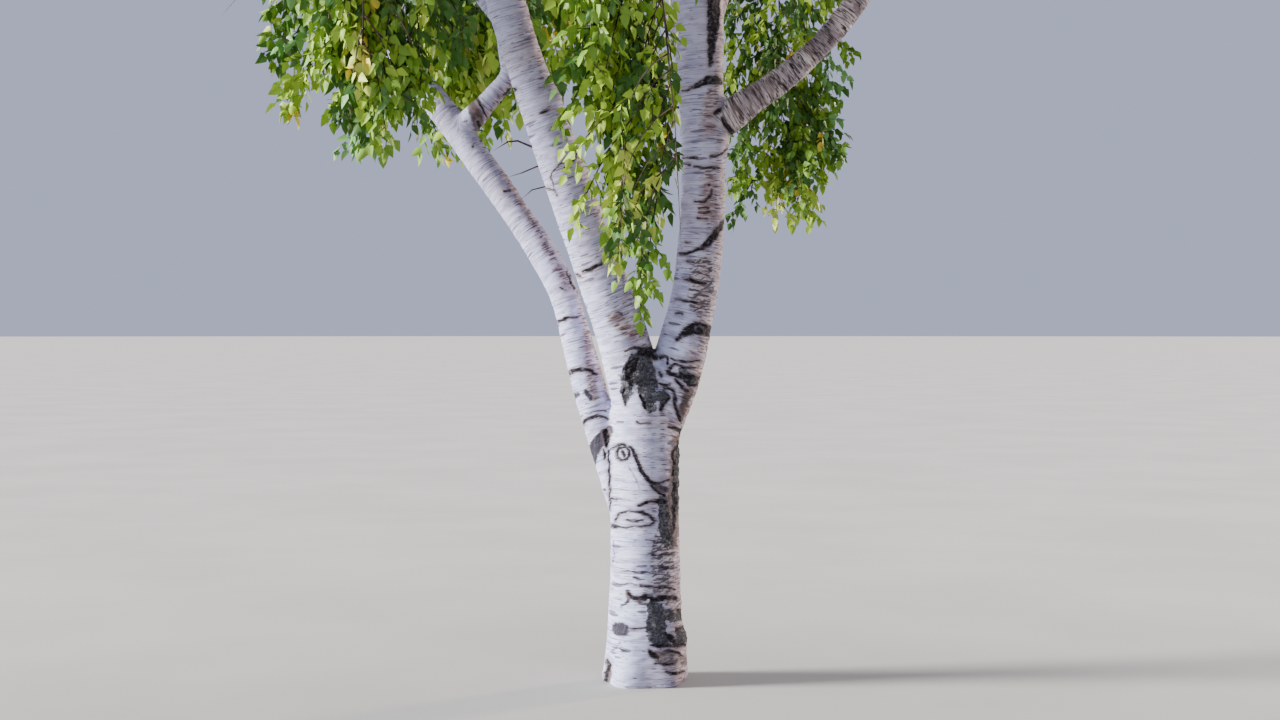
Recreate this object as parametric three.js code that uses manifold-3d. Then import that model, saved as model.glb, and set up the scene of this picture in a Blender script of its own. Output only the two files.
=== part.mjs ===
// A white-barked birch with three stems rising from one foot, and weeping foliage on its boughs.
// Millimetres and degrees. +Z is up, +X is to the right and +Y is away, as the tree is seen from its front.
// The origin is the middle of the flat cut at ground level.
import * as THREE from "three";
import { mergeVertices } from "three/addons/utils/BufferGeometryUtils.js";
import Module from "manifold-3d";

const wasm = await Module();
wasm.setup();

const { clamp, degToRad, lerp } = THREE.MathUtils;

// Driving dimensions
const CLEARANCE = 0.3; // between a piece and what carries it
const FOLIAGE_CLEARANCE = 4; // between leaves or side twigs and any limb
const SPACE_MARGIN = 15; // from the wall between two masses to each of them
const LINE_STEP = 50; // spacing of the worked-out points of a centre line
const RING_SPACING = 540; // between the rings of a limb's solid
const GOLDEN_ANGLE = 137.5; // from one side shoot to the next, round what carries them
const WELD = 1e-3; // vertices nearer than this are one
const UP = new THREE.Vector3(0, 0, 1);

// The trunk: its radius at each height, and the lobes where roots begin
const TRUNK = {
  length: 1420,
  radii: [[0, 184], [170, 172], [450, 157], [900, 150], [1080, 154], [1250, 148], [1420, 95]],
  sides: 20,
  rings: 8,
};
const FOOT_LOBES = { count: 5, share: 0.09, height: 330, turn: 20 };

// Each limb starts inside what it is on, at that distance along it. heading is the compass direction of its
// lean, from +X towards +Y, and swing is added to it by the tip. leans are [distance along the limb, lean
// from upright] and radii are [distance, radius]. joined is the length that is one solid with the trunk.
const STEMS = {
  right_stem: {
    on: "trunk", at: 1000, heading: 8, swing: 30, length: 9000, joined: 720,
    leans: [[0, 20], [500, 17], [1000, 5], [1500, -2], [2100, -4.5], [4000, 2], [7000, 5], [9000, 2]],
    radii: [
      [0, 108], [400, 118], [700, 104], [1450, 98], [1800, 102],
      [2050, 122], [2400, 92], [6000, 54], [9000, 24],
    ],
  },
  middle_stem: {
    on: "trunk", at: 1000, heading: 190, swing: 26, length: 7500, joined: 720,
    leans: [[0, 4], [450, 14], [700, 20], [1900, 20.5], [2100, 16], [3600, 22], [6000, 13], [7500, 8]],
    radii: [[0, 108], [420, 118], [720, 112], [1300, 101], [1900, 85], [3000, 72], [5500, 44], [7500, 22]],
  },
  west_stem: {
    on: "trunk", at: 500, heading: 165, swing: -12, length: 5900, joined: 800,
    leans: [
      [0, 14], [450, 20], [900, 16], [1220, 15], [1440, 30], [1560, 35], [2400, 39], [3400, 40], [5900, 22],
    ],
    radii: [[0, 84], [500, 78], [900, 76], [1300, 64], [2400, 62], [3600, 46], [5900, 20]],
  },
};
const JOINED_SIDES = 12;
const JOINED_RINGS = 4;
const STEM_SIDES = 10;

// Main boughs, as the front view shows them
const MAIN_BOUGHS = {
  east_bough: {
    on: "right_stem", at: 1560, heading: 352, swing: 10, length: 3700,
    leans: [[0, 66], [180, 60], [420, 54], [800, 38], [2200, 40], [3700, 26]],
    radii: [[0, 72], [180, 60], [700, 52], [2000, 36], [3700, 18]],
  },
  back_leader: {
    on: "right_stem", at: 1950, heading: 48, swing: 20, length: 4900,
    leans: [[0, 24], [500, 25], [2500, 22], [4900, 10]],
    radii: [[0, 84], [400, 74], [1500, 60], [4900, 20]],
  },
  riser_bough: {
    on: "west_stem", at: 2250, heading: 350, swing: 40, length: 2800,
    leans: [[0, 46], [330, 40], [400, -12], [560, -4], [640, -40], [780, -34], [1300, -14], [2800, -10]],
    radii: [[0, 56], [150, 46], [1000, 38], [2800, 20]],
  },
  front_bough: {
    on: "middle_stem", at: 2250, heading: 290, swing: 8, length: 1400,
    leans: [[0, 46], [700, 56], [1050, 85], [1400, 140]],
    radii: [[0, 42], [160, 34], [1400, 16]],
  },
  front_left_bough: {
    on: "middle_stem", at: 2600, heading: 256, swing: 6, length: 1250,
    leans: [[0, 52], [700, 64], [1000, 90], [1250, 140]],
    radii: [[0, 38], [160, 30], [1250, 15]],
  },
  back_bough: {
    on: "back_leader", at: 560, heading: 70, swing: 10, length: 1300,
    leans: [[0, 50], [700, 60], [1000, 90], [1300, 140]],
    radii: [[0, 42], [160, 33], [1300, 16]],
  },
};
const MAIN_BOUGH_SIDES = 8;

// Side boughs that follow one rule on each limb: count of them between two distances along it. lengths
// are [share of the way up, length], and leans go from the first to the last.
const SIDE_BOUGHS = {
  right_stem: {
    count: 7, from: 3000, to: 8250, heading: 75, leans: [62, 44], lengths: [[0, 1950], [0.45, 2200], [1, 950]],
  },
  middle_stem: {
    count: 4, from: 3500, to: 6700, heading: 100, leans: [58, 44], lengths: [[0, 1750], [1, 1050]],
  },
  west_stem: {
    count: 3, from: 2900, to: 5000, heading: 78, leans: [58, 46], lengths: [[0, 1400], [1, 1050]],
  },
  east_bough: {
    count: 2, from: 1700, to: 2900, heading: 275, leans: [60, 50], lengths: [[0, 1350], [1, 1050]],
  },
  back_leader: {
    count: 3, from: 1800, to: 4100, heading: 15, leans: [58, 46], lengths: [[0, 1500], [1, 1150]],
  },
};
const SIDE_BOUGH = {
  sides: 6, swing: 16, rise: 10, sink: 14, // degrees
  root: 16, rootPerLength: 0.013, mostOfParent: 0.6, swell: 1.35, collar: 0.08, tip: 13,
};

// Foliage. Each mass fills an ellipsoid of these half sizes ahead of and below the tip of its bough, as far
// as the walls halfway to its neighbours. Its leaves stand for sprays of small ones.
const SPREADING = {
  wide: 1500, deep: 1500, high: 1400, ahead: 600, below: 240,
  stemLength: 1390, falls: [0.2, 0.1, 0.3, 0, 0.4], twigLength: 1150,
  spray: { length: 740, width: 470, thickness: 32, waist: 0.45 },
};
const WEEPING = {
  ahead: 60, falls: [0.9], twigLength: 345, stemPerHeight: 1.5,
  spray: { length: 430, width: 250, thickness: 22, waist: 0.45 },
};
const WEEPING_SPACES = {
  front_bough: { wide: 420, deep: 560, high: 1250, below: 1000 },
  front_left_bough: { wide: 420, deep: 460, high: 950, below: 700 },
  back_bough: { wide: 520, deep: 520, high: 1000, below: 760 },
};
const MASS_STEM = { segments: 4, radii: [24, 13], first: 0.08, over: 0.86 };
const TWIG = { count: 5, segments: 2, radii: [11, 9], setOff: 58, droop: 0.42, scatter: 50, shrink: 0.88 };
const SPRAY = { perTwig: 3, side: 50, end: 10, scatter: 70, hang: 0.75 };
const ROOT_SHARE = { stem: 0.05, twig: 0.2, spray: 0.14 }; // left out where a crossing is looked for
const TRIES = 6; // for each twig and each spray
const FIRST_SEED = 40;

const BARK = { color: 0xd9d3dc, roughness: 0.75, metalness: 0 };
const BOUGH_BARK = { color: 0xa89a98, roughness: 0.8, metalness: 0 };
const LEAVES = { color: 0x5d7f1f, roughness: 0.6, metalness: 0 };

// The value at a distance, on straight lines between [distance, value] pairs.
function along(pairs, distance) {
  let k = 1;
  while (k < pairs.length - 1 && distance > pairs[k][0]) k += 1;
  const [from, low] = pairs[k - 1];
  const [to, high] = pairs[k];
  return lerp(low, high, clamp((distance - from) / (to - from), 0, 1));
}

function directionOf(heading, lean) {
  const [h, l] = [degToRad(heading), degToRad(lean)];
  return new THREE.Vector3(Math.sin(l) * Math.cos(h), Math.sin(l) * Math.sin(h), Math.cos(l));
}

// A limb's centre line from its start, with a side direction that is carried along without twist.
function growLimb(start, { heading, swing, leans, radii, length }) {
  const steps = Math.ceil(length / LINE_STEP);
  const step = length / steps;
  const towards = (s) => directionOf(heading + (swing * s) / length, along(leans, s));
  const points = [start.clone()];
  const sides = [directionOf(heading + 90, 90)];
  for (let i = 0; i < steps; i += 1) {
    points.push(points[i].clone().addScaledVector(towards((i + 0.5) * step), step));
    const ahead = towards((i + 1) * step);
    sides.push(sides[i].clone().addScaledVector(ahead, -sides[i].dot(ahead)).normalize());
  }
  const place = (s) => {
    const i = Math.min(steps - 1, Math.floor(s / step));
    const direction = towards(s);
    const side = sides[i].clone().lerp(sides[i + 1], s / step - i);
    side.addScaledVector(direction, -side.dot(direction)).normalize();
    const point = points[i].clone().lerp(points[i + 1], s / step - i);
    return { point, direction, side, radius: along(radii, s) };
  };
  return { place, length };
}

// A closed three.js geometry as a solid for joining and cutting.
function solidFrom(geometry) {
  geometry.deleteAttribute("normal");
  geometry.deleteAttribute("uv");
  const merged = mergeVertices(geometry, WELD);
  return new wasm.Manifold(
    new wasm.Mesh({
      numProp: 3,
      vertProperties: merged.attributes.position.array,
      triVerts: new Uint32Array(merged.index.array),
    }),
  );
}

// Each vertex of a geometry goes where place puts it.
function moveVertices(geometry, place) {
  const vertex = geometry.attributes.position;
  for (let i = 0; i < vertex.count; i += 1) {
    const { x, y, z } = place(vertex.getX(i), vertex.getY(i), vertex.getZ(i));
    vertex.setXYZ(i, x, y, z);
  }
  return geometry;
}

// A cylinder laid along a limb from one distance to another, with its radius and grow more.
function tube(limb, from, to, sides, rings, grow = 0, lobed = () => 1) {
  const geometry = new THREE.CylinderGeometry(1, 1, 1, sides, rings);
  moveVertices(geometry, (x, y, z) => {
    const s = from + (to - from) * (y + 0.5);
    const { point, direction, side, radius } = limb.place(s);
    const other = side.clone().cross(direction);
    const reach = radius * lobed(Math.atan2(z, x), s) + grow;
    return point.addScaledVector(side, x * reach).addScaledVector(other, z * reach);
  });
  return solidFrom(geometry);
}

// The foot widens in lobes, which die out above it.
function footLobes(angle, s) {
  const fade = Math.max(0, 1 - s / FOOT_LOBES.height) ** 2;
  return 1 + FOOT_LOBES.share * fade * Math.cos(FOOT_LOBES.count * angle + degToRad(FOOT_LOBES.turn));
}

// The limbs' centre lines, and what each limb is on
const upright = { heading: 0, swing: 0, leans: [[0, 0], [TRUNK.length, 0]] };
const limbs = { trunk: growLimb(new THREE.Vector3(), { ...TRUNK, ...upright }) };
const carriedBy = {};

function addLimb(name, spec) {
  limbs[name] = growLimb(limbs[spec.on].place(spec.at).point, spec);
  carriedBy[name] = spec.on;
}

function shortName(limb) {
  return limb.replace("_stem", "").replace("_bough", "");
}

function sideBough(on, rule, k) {
  const share = k / (rule.count - 1);
  const at = lerp(rule.from, rule.to, share);
  const length = along(rule.lengths, share);
  const lean = lerp(rule.leans[0], rule.leans[1], share);
  const mostRoot = limbs[on].place(at).radius * SIDE_BOUGH.mostOfParent;
  const root = Math.min(mostRoot, SIDE_BOUGH.root + length * SIDE_BOUGH.rootPerLength);
  return {
    on, at, length,
    heading: rule.heading + GOLDEN_ANGLE * k,
    swing: SIDE_BOUGH.swing,
    leans: [[0, lean], [length / 2, lean - SIDE_BOUGH.rise], [length, lean + SIDE_BOUGH.sink]],
    radii: [[0, root * SIDE_BOUGH.swell], [root + length * SIDE_BOUGH.collar, root], [length, SIDE_BOUGH.tip]],
  };
}

for (const [name, spec] of Object.entries({ ...STEMS, ...MAIN_BOUGHS })) {
  addLimb(name, spec);
}
for (const [on, rule] of Object.entries(SIDE_BOUGHS)) {
  for (let k = 0; k < rule.count; k += 1) {
    addLimb(`${shortName(on)}_side_bough_${k + 1}`, sideBough(on, rule, k));
  }
}

// The part of a limb that is a solid of its own, with its radius and grow more.
function limbTube(name, grow = 0) {
  const from = STEMS[name] ? STEMS[name].joined + CLEARANCE : 0;
  const boughSides = MAIN_BOUGHS[name] ? MAIN_BOUGH_SIDES : SIDE_BOUGH.sides;
  const rings = Math.max(3, Math.round((limbs[name].length - from) / RING_SPACING));
  return tube(limbs[name], from, limbs[name].length, STEMS[name] ? STEM_SIDES : boughSides, rings, grow);
}

// A cut can leave a scrap on the far side of what it was cut by, which is dropped.
function largest(solid) {
  return solid.decompose().sort((a, b) => b.volume() - a.volume())[0];
}

// The trunk with the starts of its stems, the rest of each stem, and the boughs.
function limbSolids() {
  const solids = { trunk: tube(limbs.trunk, 0, TRUNK.length, TRUNK.sides, TRUNK.rings, 0, footLobes) };
  for (const [name, { joined }] of Object.entries(STEMS)) {
    solids.trunk = solids.trunk.add(tube(limbs[name], 0, joined, JOINED_SIDES, JOINED_RINGS));
  }
  for (const [name, on] of Object.entries(carriedBy)) {
    const whole = limbTube(name);
    solids[name] = on === "trunk" ? whole : largest(whole.subtract(limbTube(on, 2 * CLEARANCE)));
  }
  return solids;
}

// A stream of numbers from 0 to 1 that is the same for the same seed.
function randomFrom(seed) {
  let state = (seed * 2654435761) >>> 0;
  return () => {
    state = (Math.imul(state, 1664525) + 1013904223) >>> 0;
    return state / 4294967296;
  };
}

// A direction at an angle off another, turned round it.
function offFrom(direction, angle, round) {
  const flat = Math.abs(direction.z) > 0.95 ? new THREE.Vector3(1, 0, 0) : UP;
  const side = flat.clone().cross(direction).normalize().applyAxisAngle(direction, degToRad(round));
  const ahead = direction.clone().multiplyScalar(Math.cos(degToRad(angle)));
  return ahead.addScaledVector(side, Math.sin(degToRad(angle)));
}

// A twig's points: it sets off in a direction and sinks a little more with each segment.
function twigPoints(start, direction, length, droop, segments) {
  const points = [start.clone()];
  const heading = direction.clone();
  for (let k = 0; k < segments; k += 1) {
    points.push(points[k].clone().addScaledVector(heading, length / segments));
    heading.addScaledVector(UP, -droop).normalize();
  }
  return points;
}

// Where a twig is at a share of its length, and which way it runs there.
function onTwig(points, share) {
  const k = Math.min(points.length - 2, Math.floor(share * (points.length - 1)));
  const direction = points[k + 1].clone().sub(points[k]).normalize();
  return { point: points[k].clone().lerp(points[k + 1], share * (points.length - 1) - k), direction };
}

// The twig without a share at its root, which lies in its first segment.
function withoutRoot(points, share) {
  return [onTwig(points, share).point, ...points.slice(1)];
}

// A three-sided twig through its points.
function twigSolid(points, [thick, thin]) {
  const segments = points.length - 1;
  const rings = points.map((point, i) => {
    const ahead = points[Math.min(segments, i + 1)].clone();
    const way = ahead.sub(points[Math.max(0, i - 1)]).normalize();
    const side = offFrom(way, 90, 0);
    return { point, side, other: side.clone().cross(way), radius: lerp(thick, thin, i / segments) };
  });
  const geometry = new THREE.CylinderGeometry(1, 1, 1, 3, segments);
  moveVertices(geometry, (x, y, z) => {
    const { point, side, other, radius } = rings[Math.round((y + 0.5) * segments)];
    return point.clone().addScaledVector(side, x * radius).addScaledVector(other, z * radius);
  });
  return solidFrom(geometry);
}

// The corners of a spray's leaf: its root, its tip, and at its waist both edges and both faces.
function sprayCorners(root, direction, flat, size) {
  const across = flat.clone().cross(direction).normalize();
  const waist = root.clone().addScaledVector(direction, size.waist * size.length);
  return {
    root,
    tip: root.clone().addScaledVector(direction, size.length),
    left: waist.clone().addScaledVector(across, size.width / 2),
    right: waist.clone().addScaledVector(across, -size.width / 2),
    front: waist.clone().addScaledVector(flat, size.thickness / 2),
    back: waist.clone().addScaledVector(flat, -size.thickness / 2),
  };
}

// An octahedron drawn out to a leaf of 8 faces.
function leafSolid(corners) {
  const geometry = new THREE.OctahedronGeometry(1);
  moveVertices(geometry, (x, y, z) => {
    if (Math.abs(y) > 0.5) return y > 0 ? corners.tip : corners.root;
    if (Math.abs(x) > 0.5) return x > 0 ? corners.left : corners.right;
    return z > 0 ? corners.back : corners.front;
  });
  return solidFrom(geometry);
}

// The masses, one on the tip of each stem and bough.
const masses = Object.keys(carriedBy).map((carrier, index) => {
  const tip = limbs[carrier].place(limbs[carrier].length);
  const weepingSpace = WEEPING_SPACES[carrier];
  const kind = weepingSpace ? { ...WEEPING, ...weepingSpace } : SPREADING;
  const size = weepingSpace ? 1 : clamp(0.62 + limbs[carrier].length / 5200, 0.7, 1);
  const middle = tip.point.clone().addScaledVector(tip.direction, kind.ahead * size);
  middle.z -= kind.below * size;
  const half = new THREE.Vector3(kind.wide, kind.deep, kind.high).multiplyScalar(size);
  const stemLength = weepingSpace ? kind.high * kind.stemPerHeight : kind.stemLength * size;
  const name = `${shortName(carrier)}_foliage`;
  return { name, seed: index + FIRST_SEED, tip, kind, size, middle, half, stemLength };
});

// Whether a point is in a mass's own space.
function inSpace(mass, point) {
  const off = point.clone().sub(mass.middle);
  if (off.clone().divide(mass.half).length() > 1) return false;
  return masses.every((other) => {
    if (other === mass) return true;
    const between = other.middle.clone().sub(mass.middle);
    return off.dot(between) / between.length() < between.length() / 2 - SPACE_MARGIN;
  });
}

// One mass by the rule: a stem that goes on from its bough, side twigs round it, and sprays on those and
// on the stem's end. What would leave the space, touch a limb or cross what is there already is tried
// again elsewhere, and skipped in the end.
function massSolid(mass, limbsAround) {
  const random = randomFrom(mass.seed);
  const { falls, spray, twigLength } = mass.kind;
  const inside = (points) => points.every((point) => inSpace(mass, point));
  const clearOfLimbs = (solid) => limbsAround.every((limb) => solid.intersect(limb).isEmpty());

  const start = mass.tip.point.clone().addScaledVector(mass.tip.direction, CLEARANCE);
  const stem = falls
    .map((fall) => twigPoints(start, mass.tip.direction, mass.stemLength, fall, MASS_STEM.segments))
    .find((points) => clearOfLimbs(twigSolid(withoutRoot(points, ROOT_SHARE.stem), MASS_STEM.radii)));
  let fused = twigSolid(stem, MASS_STEM.radii);
  const fits = (whole, outer) => clearOfLimbs(whole) && outer.intersect(fused).isEmpty();

  function addSpray(points, share, spread, round) {
    const on = onTwig(points, share);
    for (let attempt = 0; attempt < TRIES; attempt += 1) {
      const turn = round + SPRAY.scatter * (attempt + random() - 0.5);
      const direction = offFrom(on.direction, spread, turn).addScaledVector(UP, -SPRAY.hang).normalize();
      const corners = sprayCorners(on.point, direction, offFrom(direction, 90, 360 * random()), spray);
      const leaf = leafSolid(corners);
      const outer = leafSolid({ ...corners, root: on.point.clone().lerp(corners.tip, ROOT_SHARE.spray) });
      if (inside(Object.values(corners)) && fits(leaf, outer)) {
        fused = fused.add(leaf);
        return;
      }
    }
  }

  function addTwig(k) {
    for (let attempt = 0; attempt < TRIES; attempt += 1) {
      const on = onTwig(stem, MASS_STEM.first + (MASS_STEM.over * (k + 0.5 * random())) / TWIG.count);
      const round = GOLDEN_ANGLE * k + TWIG.scatter * (2 * attempt + random() - 0.5);
      const length = twigLength * mass.size * (0.8 + 0.4 * random()) * TWIG.shrink ** attempt;
      const way = offFrom(on.direction, TWIG.setOff, round);
      const points = twigPoints(on.point, way, length, TWIG.droop, TWIG.segments);
      const twig = twigSolid(points, TWIG.radii);
      const outer = twigSolid(withoutRoot(points, ROOT_SHARE.twig), TWIG.radii);
      if (inside(points.slice(1)) && fits(twig, outer)) {
        fused = fused.add(twig);
        return points;
      }
    }
    return null;
  }

  for (let k = 0; k < TWIG.count; k += 1) {
    const points = addTwig(k);
    for (let j = 0; points && j < SPRAY.perTwig; j += 1) {
      const last = j === SPRAY.perTwig - 1;
      addSpray(points, (j + 0.96) / SPRAY.perTwig, last ? SPRAY.end : SPRAY.side, 90 + 180 * j);
    }
  }
  addSpray(stem, 0.98, SPRAY.end, 0);
  addSpray(stem, 0.86, SPRAY.side, 180);
  return fused;
}

function meshFrom(name, solid, look) {
  const made = solid.getMesh();
  const geometry = new THREE.BufferGeometry();
  geometry.setAttribute("position", new THREE.BufferAttribute(made.vertProperties, 3));
  geometry.setIndex(new THREE.BufferAttribute(made.triVerts, 1));
  geometry.computeVertexNormals();
  const mesh = new THREE.Mesh(geometry, new THREE.MeshStandardMaterial(look));
  mesh.name = name;
  return mesh;
}

const tree = new THREE.Group();
const solids = limbSolids();
for (const [name, solid] of Object.entries(solids)) {
  tree.add(meshFrom(name, solid, name === "trunk" || STEMS[name] ? BARK : BOUGH_BARK));
}
const limbsAround = [solids.trunk, ...Object.keys(carriedBy).map((name) => limbTube(name, FOLIAGE_CLEARANCE))];
for (const mass of masses) {
  tree.add(meshFrom(mass.name, massSolid(mass, limbsAround), LEAVES));
}

export default tree;
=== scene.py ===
"""A white-barked birch with three stems: bark, boughs, twigs and leaves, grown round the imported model."""

import math

import bmesh
import bpy
import numpy as np
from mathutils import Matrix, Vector, noise
from mathutils.kdtree import KDTree


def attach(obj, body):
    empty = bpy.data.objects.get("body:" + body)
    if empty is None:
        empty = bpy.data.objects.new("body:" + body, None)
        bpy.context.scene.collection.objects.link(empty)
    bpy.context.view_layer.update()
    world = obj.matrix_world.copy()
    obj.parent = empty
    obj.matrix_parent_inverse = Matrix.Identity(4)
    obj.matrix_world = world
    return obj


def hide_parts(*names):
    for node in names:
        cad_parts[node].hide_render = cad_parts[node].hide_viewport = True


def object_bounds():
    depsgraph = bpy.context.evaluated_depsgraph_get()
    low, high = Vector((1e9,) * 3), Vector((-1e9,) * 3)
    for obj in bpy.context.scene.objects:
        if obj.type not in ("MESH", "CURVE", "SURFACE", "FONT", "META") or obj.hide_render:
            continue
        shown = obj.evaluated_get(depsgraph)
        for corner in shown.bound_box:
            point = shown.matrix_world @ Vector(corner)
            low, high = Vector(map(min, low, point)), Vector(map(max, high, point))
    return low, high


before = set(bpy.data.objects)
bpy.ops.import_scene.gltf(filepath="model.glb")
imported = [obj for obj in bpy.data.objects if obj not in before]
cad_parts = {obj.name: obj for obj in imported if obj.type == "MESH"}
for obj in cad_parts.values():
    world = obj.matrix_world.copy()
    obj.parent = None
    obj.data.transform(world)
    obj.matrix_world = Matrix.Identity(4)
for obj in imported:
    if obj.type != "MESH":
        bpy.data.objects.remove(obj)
cad_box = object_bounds()

# Sizes are in metres and angles in degrees. +Z is up, +X to the right and +Y away from the camera.
CLEARANCE = 0.0003
SPACE_MARGIN = 0.015
LINE_STEP = 0.05
GOLDEN_ANGLE = 137.5
UP = np.array([0.0, 0.0, 1.0])
NEARLY_NONE = 1e-9

# The photograph's frame and the camera that stands where it was taken from
PHOTO_WIDTH, PHOTO_HEIGHT = 1280, 720
HORIZON_PY = 330
LENS_MM, SENSOR_MM = 50, 36
FOCAL_PX = PHOTO_WIDTH * LENS_MM / SENSOR_MM
EYE = Vector((-0.0227, -8.08, 1.6))

# Each limb starts inside what it is on, at that distance along it. heading is the compass direction of its
# lean, from +X towards +Y, and swing is added to it by the tip. leans are (distance along the limb, lean
# from upright) and radii are (distance, radius).
TRUNK = dict(
    length=1.42, heading=0, swing=0, leans=[(0, 0), (1.42, 0)],
    radii=[(0, 0.184), (0.17, 0.172), (0.45, 0.157), (0.9, 0.15), (1.08, 0.154), (1.25, 0.148),
           (1.42, 0.095)],
)
FOOT_LOBES = dict(count=5, share=0.09, height=0.33, turn=20)
STEMS = {
    "right_stem": dict(
        on="trunk", at=1.0, heading=8, swing=30, length=9.0,
        leans=[(0, 20), (0.5, 17), (1.0, 5), (1.5, -2), (2.1, -4.5), (4.0, 2), (7.0, 5), (9.0, 2)],
        radii=[(0, 0.108), (0.4, 0.118), (0.7, 0.104), (1.45, 0.098), (1.8, 0.102), (2.05, 0.122),
               (2.4, 0.092),
               (6.0, 0.054), (9.0, 0.024)],
    ),
    "middle_stem": dict(
        on="trunk", at=1.0, heading=190, swing=26, length=7.5,
        leans=[(0, 4), (0.45, 14), (0.7, 20), (1.9, 20.5), (2.1, 16), (3.6, 22), (6.0, 13), (7.5, 8)],
        radii=[(0, 0.108), (0.42, 0.118), (0.72, 0.112), (1.3, 0.101), (1.9, 0.085), (3.0, 0.072),
               (5.5, 0.044),
               (7.5, 0.022)],
    ),
    "west_stem": dict(
        on="trunk", at=0.5, heading=165, swing=-12, length=5.9,
        leans=[(0, 14), (0.45, 20), (0.9, 16), (1.22, 15), (1.44, 30), (1.56, 35), (2.4, 39),
               (3.4, 40), (5.9, 22)],
        radii=[(0, 0.084), (0.5, 0.078), (0.9, 0.076), (1.3, 0.064), (2.4, 0.062), (3.6, 0.046),
               (5.9, 0.02)],
    ),
}
MAIN_BOUGHS = {
    "east_bough": dict(
        on="right_stem", at=1.56, heading=352, swing=10, length=3.7,
        leans=[(0, 66), (0.18, 60), (0.42, 54), (0.8, 38), (2.2, 40), (3.7, 26)],
        radii=[(0, 0.072), (0.18, 0.06), (0.7, 0.052), (2.0, 0.036), (3.7, 0.018)],
    ),
    "back_leader": dict(
        on="right_stem", at=1.95, heading=48, swing=20, length=4.9,
        leans=[(0, 24), (0.5, 25), (2.5, 22), (4.9, 10)],
        radii=[(0, 0.084), (0.4, 0.074), (1.5, 0.06), (4.9, 0.02)],
    ),
    "riser_bough": dict(
        on="west_stem", at=2.25, heading=350, swing=40, length=2.8,
        leans=[(0, 46), (0.33, 40), (0.4, -12), (0.56, -4), (0.64, -40), (0.78, -34), (1.3, -14),
               (2.8, -10)],
        radii=[(0, 0.056), (0.15, 0.046), (1.0, 0.038), (2.8, 0.02)],
    ),
    "front_bough": dict(
        on="middle_stem", at=2.25, heading=290, swing=8, length=1.4,
        leans=[(0, 46), (0.7, 56), (1.05, 85), (1.4, 140)],
        radii=[(0, 0.042), (0.16, 0.034), (1.4, 0.016)],
    ),
    "front_left_bough": dict(
        on="middle_stem", at=2.6, heading=256, swing=6, length=1.25,
        leans=[(0, 52), (0.7, 64), (1.0, 90), (1.25, 140)],
        radii=[(0, 0.038), (0.16, 0.03), (1.25, 0.015)],
    ),
    "back_bough": dict(
        on="back_leader", at=0.56, heading=70, swing=10, length=1.3,
        leans=[(0, 50), (0.7, 60), (1.0, 90), (1.3, 140)],
        radii=[(0, 0.042), (0.16, 0.033), (1.3, 0.016)],
    ),
}
# Side boughs: count of them between two distances along their limb. lengths are (share of the way, length).
SIDE_BOUGHS = {
    "right_stem": dict(
        count=7, first=3.0, last=8.25, heading=75, leans=(62, 44),
        lengths=[(0, 1.95), (0.45, 2.2), (1, 0.95)],
    ),
    "middle_stem": dict(
        count=4, first=3.5, last=6.7, heading=100, leans=(58, 44),
        lengths=[(0, 1.75), (1, 1.05)],
    ),
    "west_stem": dict(
        count=3, first=2.9, last=5.0, heading=78, leans=(58, 46),
        lengths=[(0, 1.4), (1, 1.05)],
    ),
    "east_bough": dict(
        count=2, first=1.7, last=2.9, heading=275, leans=(60, 50),
        lengths=[(0, 1.35), (1, 1.05)],
    ),
    "back_leader": dict(
        count=3, first=1.8, last=4.1, heading=15, leans=(58, 46),
        lengths=[(0, 1.5), (1, 1.15)],
    ),
}
SIDE_BOUGH = dict(swing=16, rise=10, sink=14, root=0.016, root_per_length=0.013, most_of_parent=0.6,
                  swell=1.35, collar=0.08, tip=0.013)

# The space of each mass of foliage, ahead of and below the tip of its bough
SPREADING = dict(wide=1.5, deep=1.5, high=1.4, ahead=0.6, below=0.24, stem_length=1.39,
                 falls=(0.2, 0.1, 0.3, 0, 0.4), twig_length=1.15)
WEEPING = dict(ahead=0.06, falls=(0.9,), twig_length=0.345, stem_per_height=1.5)
WEEPING_SPACES = {
    "front_bough": dict(wide=0.42, deep=0.56, high=1.25, below=1.0),
    "front_left_bough": dict(wide=0.42, deep=0.46, high=0.95, below=0.7),
    "back_bough": dict(wide=0.52, deep=0.52, high=1.0, below=0.76),
}
MASS_STEM = dict(segments=4, first=0.08, over=0.86)
TWIG = dict(segments=4, set_off=58, droop=0.42, scatter=50, shrink=0.88)
SPRAY = dict(side=50, end=10, scatter=70, hang=0.75, along=0.96)  # along: where in its part of a twig
TWIG_REACH = 0.1  # how far a fine twig may stand out past the solids
TRIES = 6
FIRST_SEED = 40
# Seeds that let the leaves in front hang over the stems much as they do in the photograph
FRONT_SEEDS = {"front_bough": 35, "front_left_bough": 49}


def direction_of(heading, lean):
    """Unit vectors that lean from upright towards a compass heading."""
    turn, tip = np.radians(heading), np.radians(lean)
    return np.stack([np.sin(tip) * np.cos(turn), np.sin(tip) * np.sin(turn), np.cos(tip)], axis=-1)


def unit(vectors):
    return vectors / np.linalg.norm(vectors, axis=-1, keepdims=True)


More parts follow.
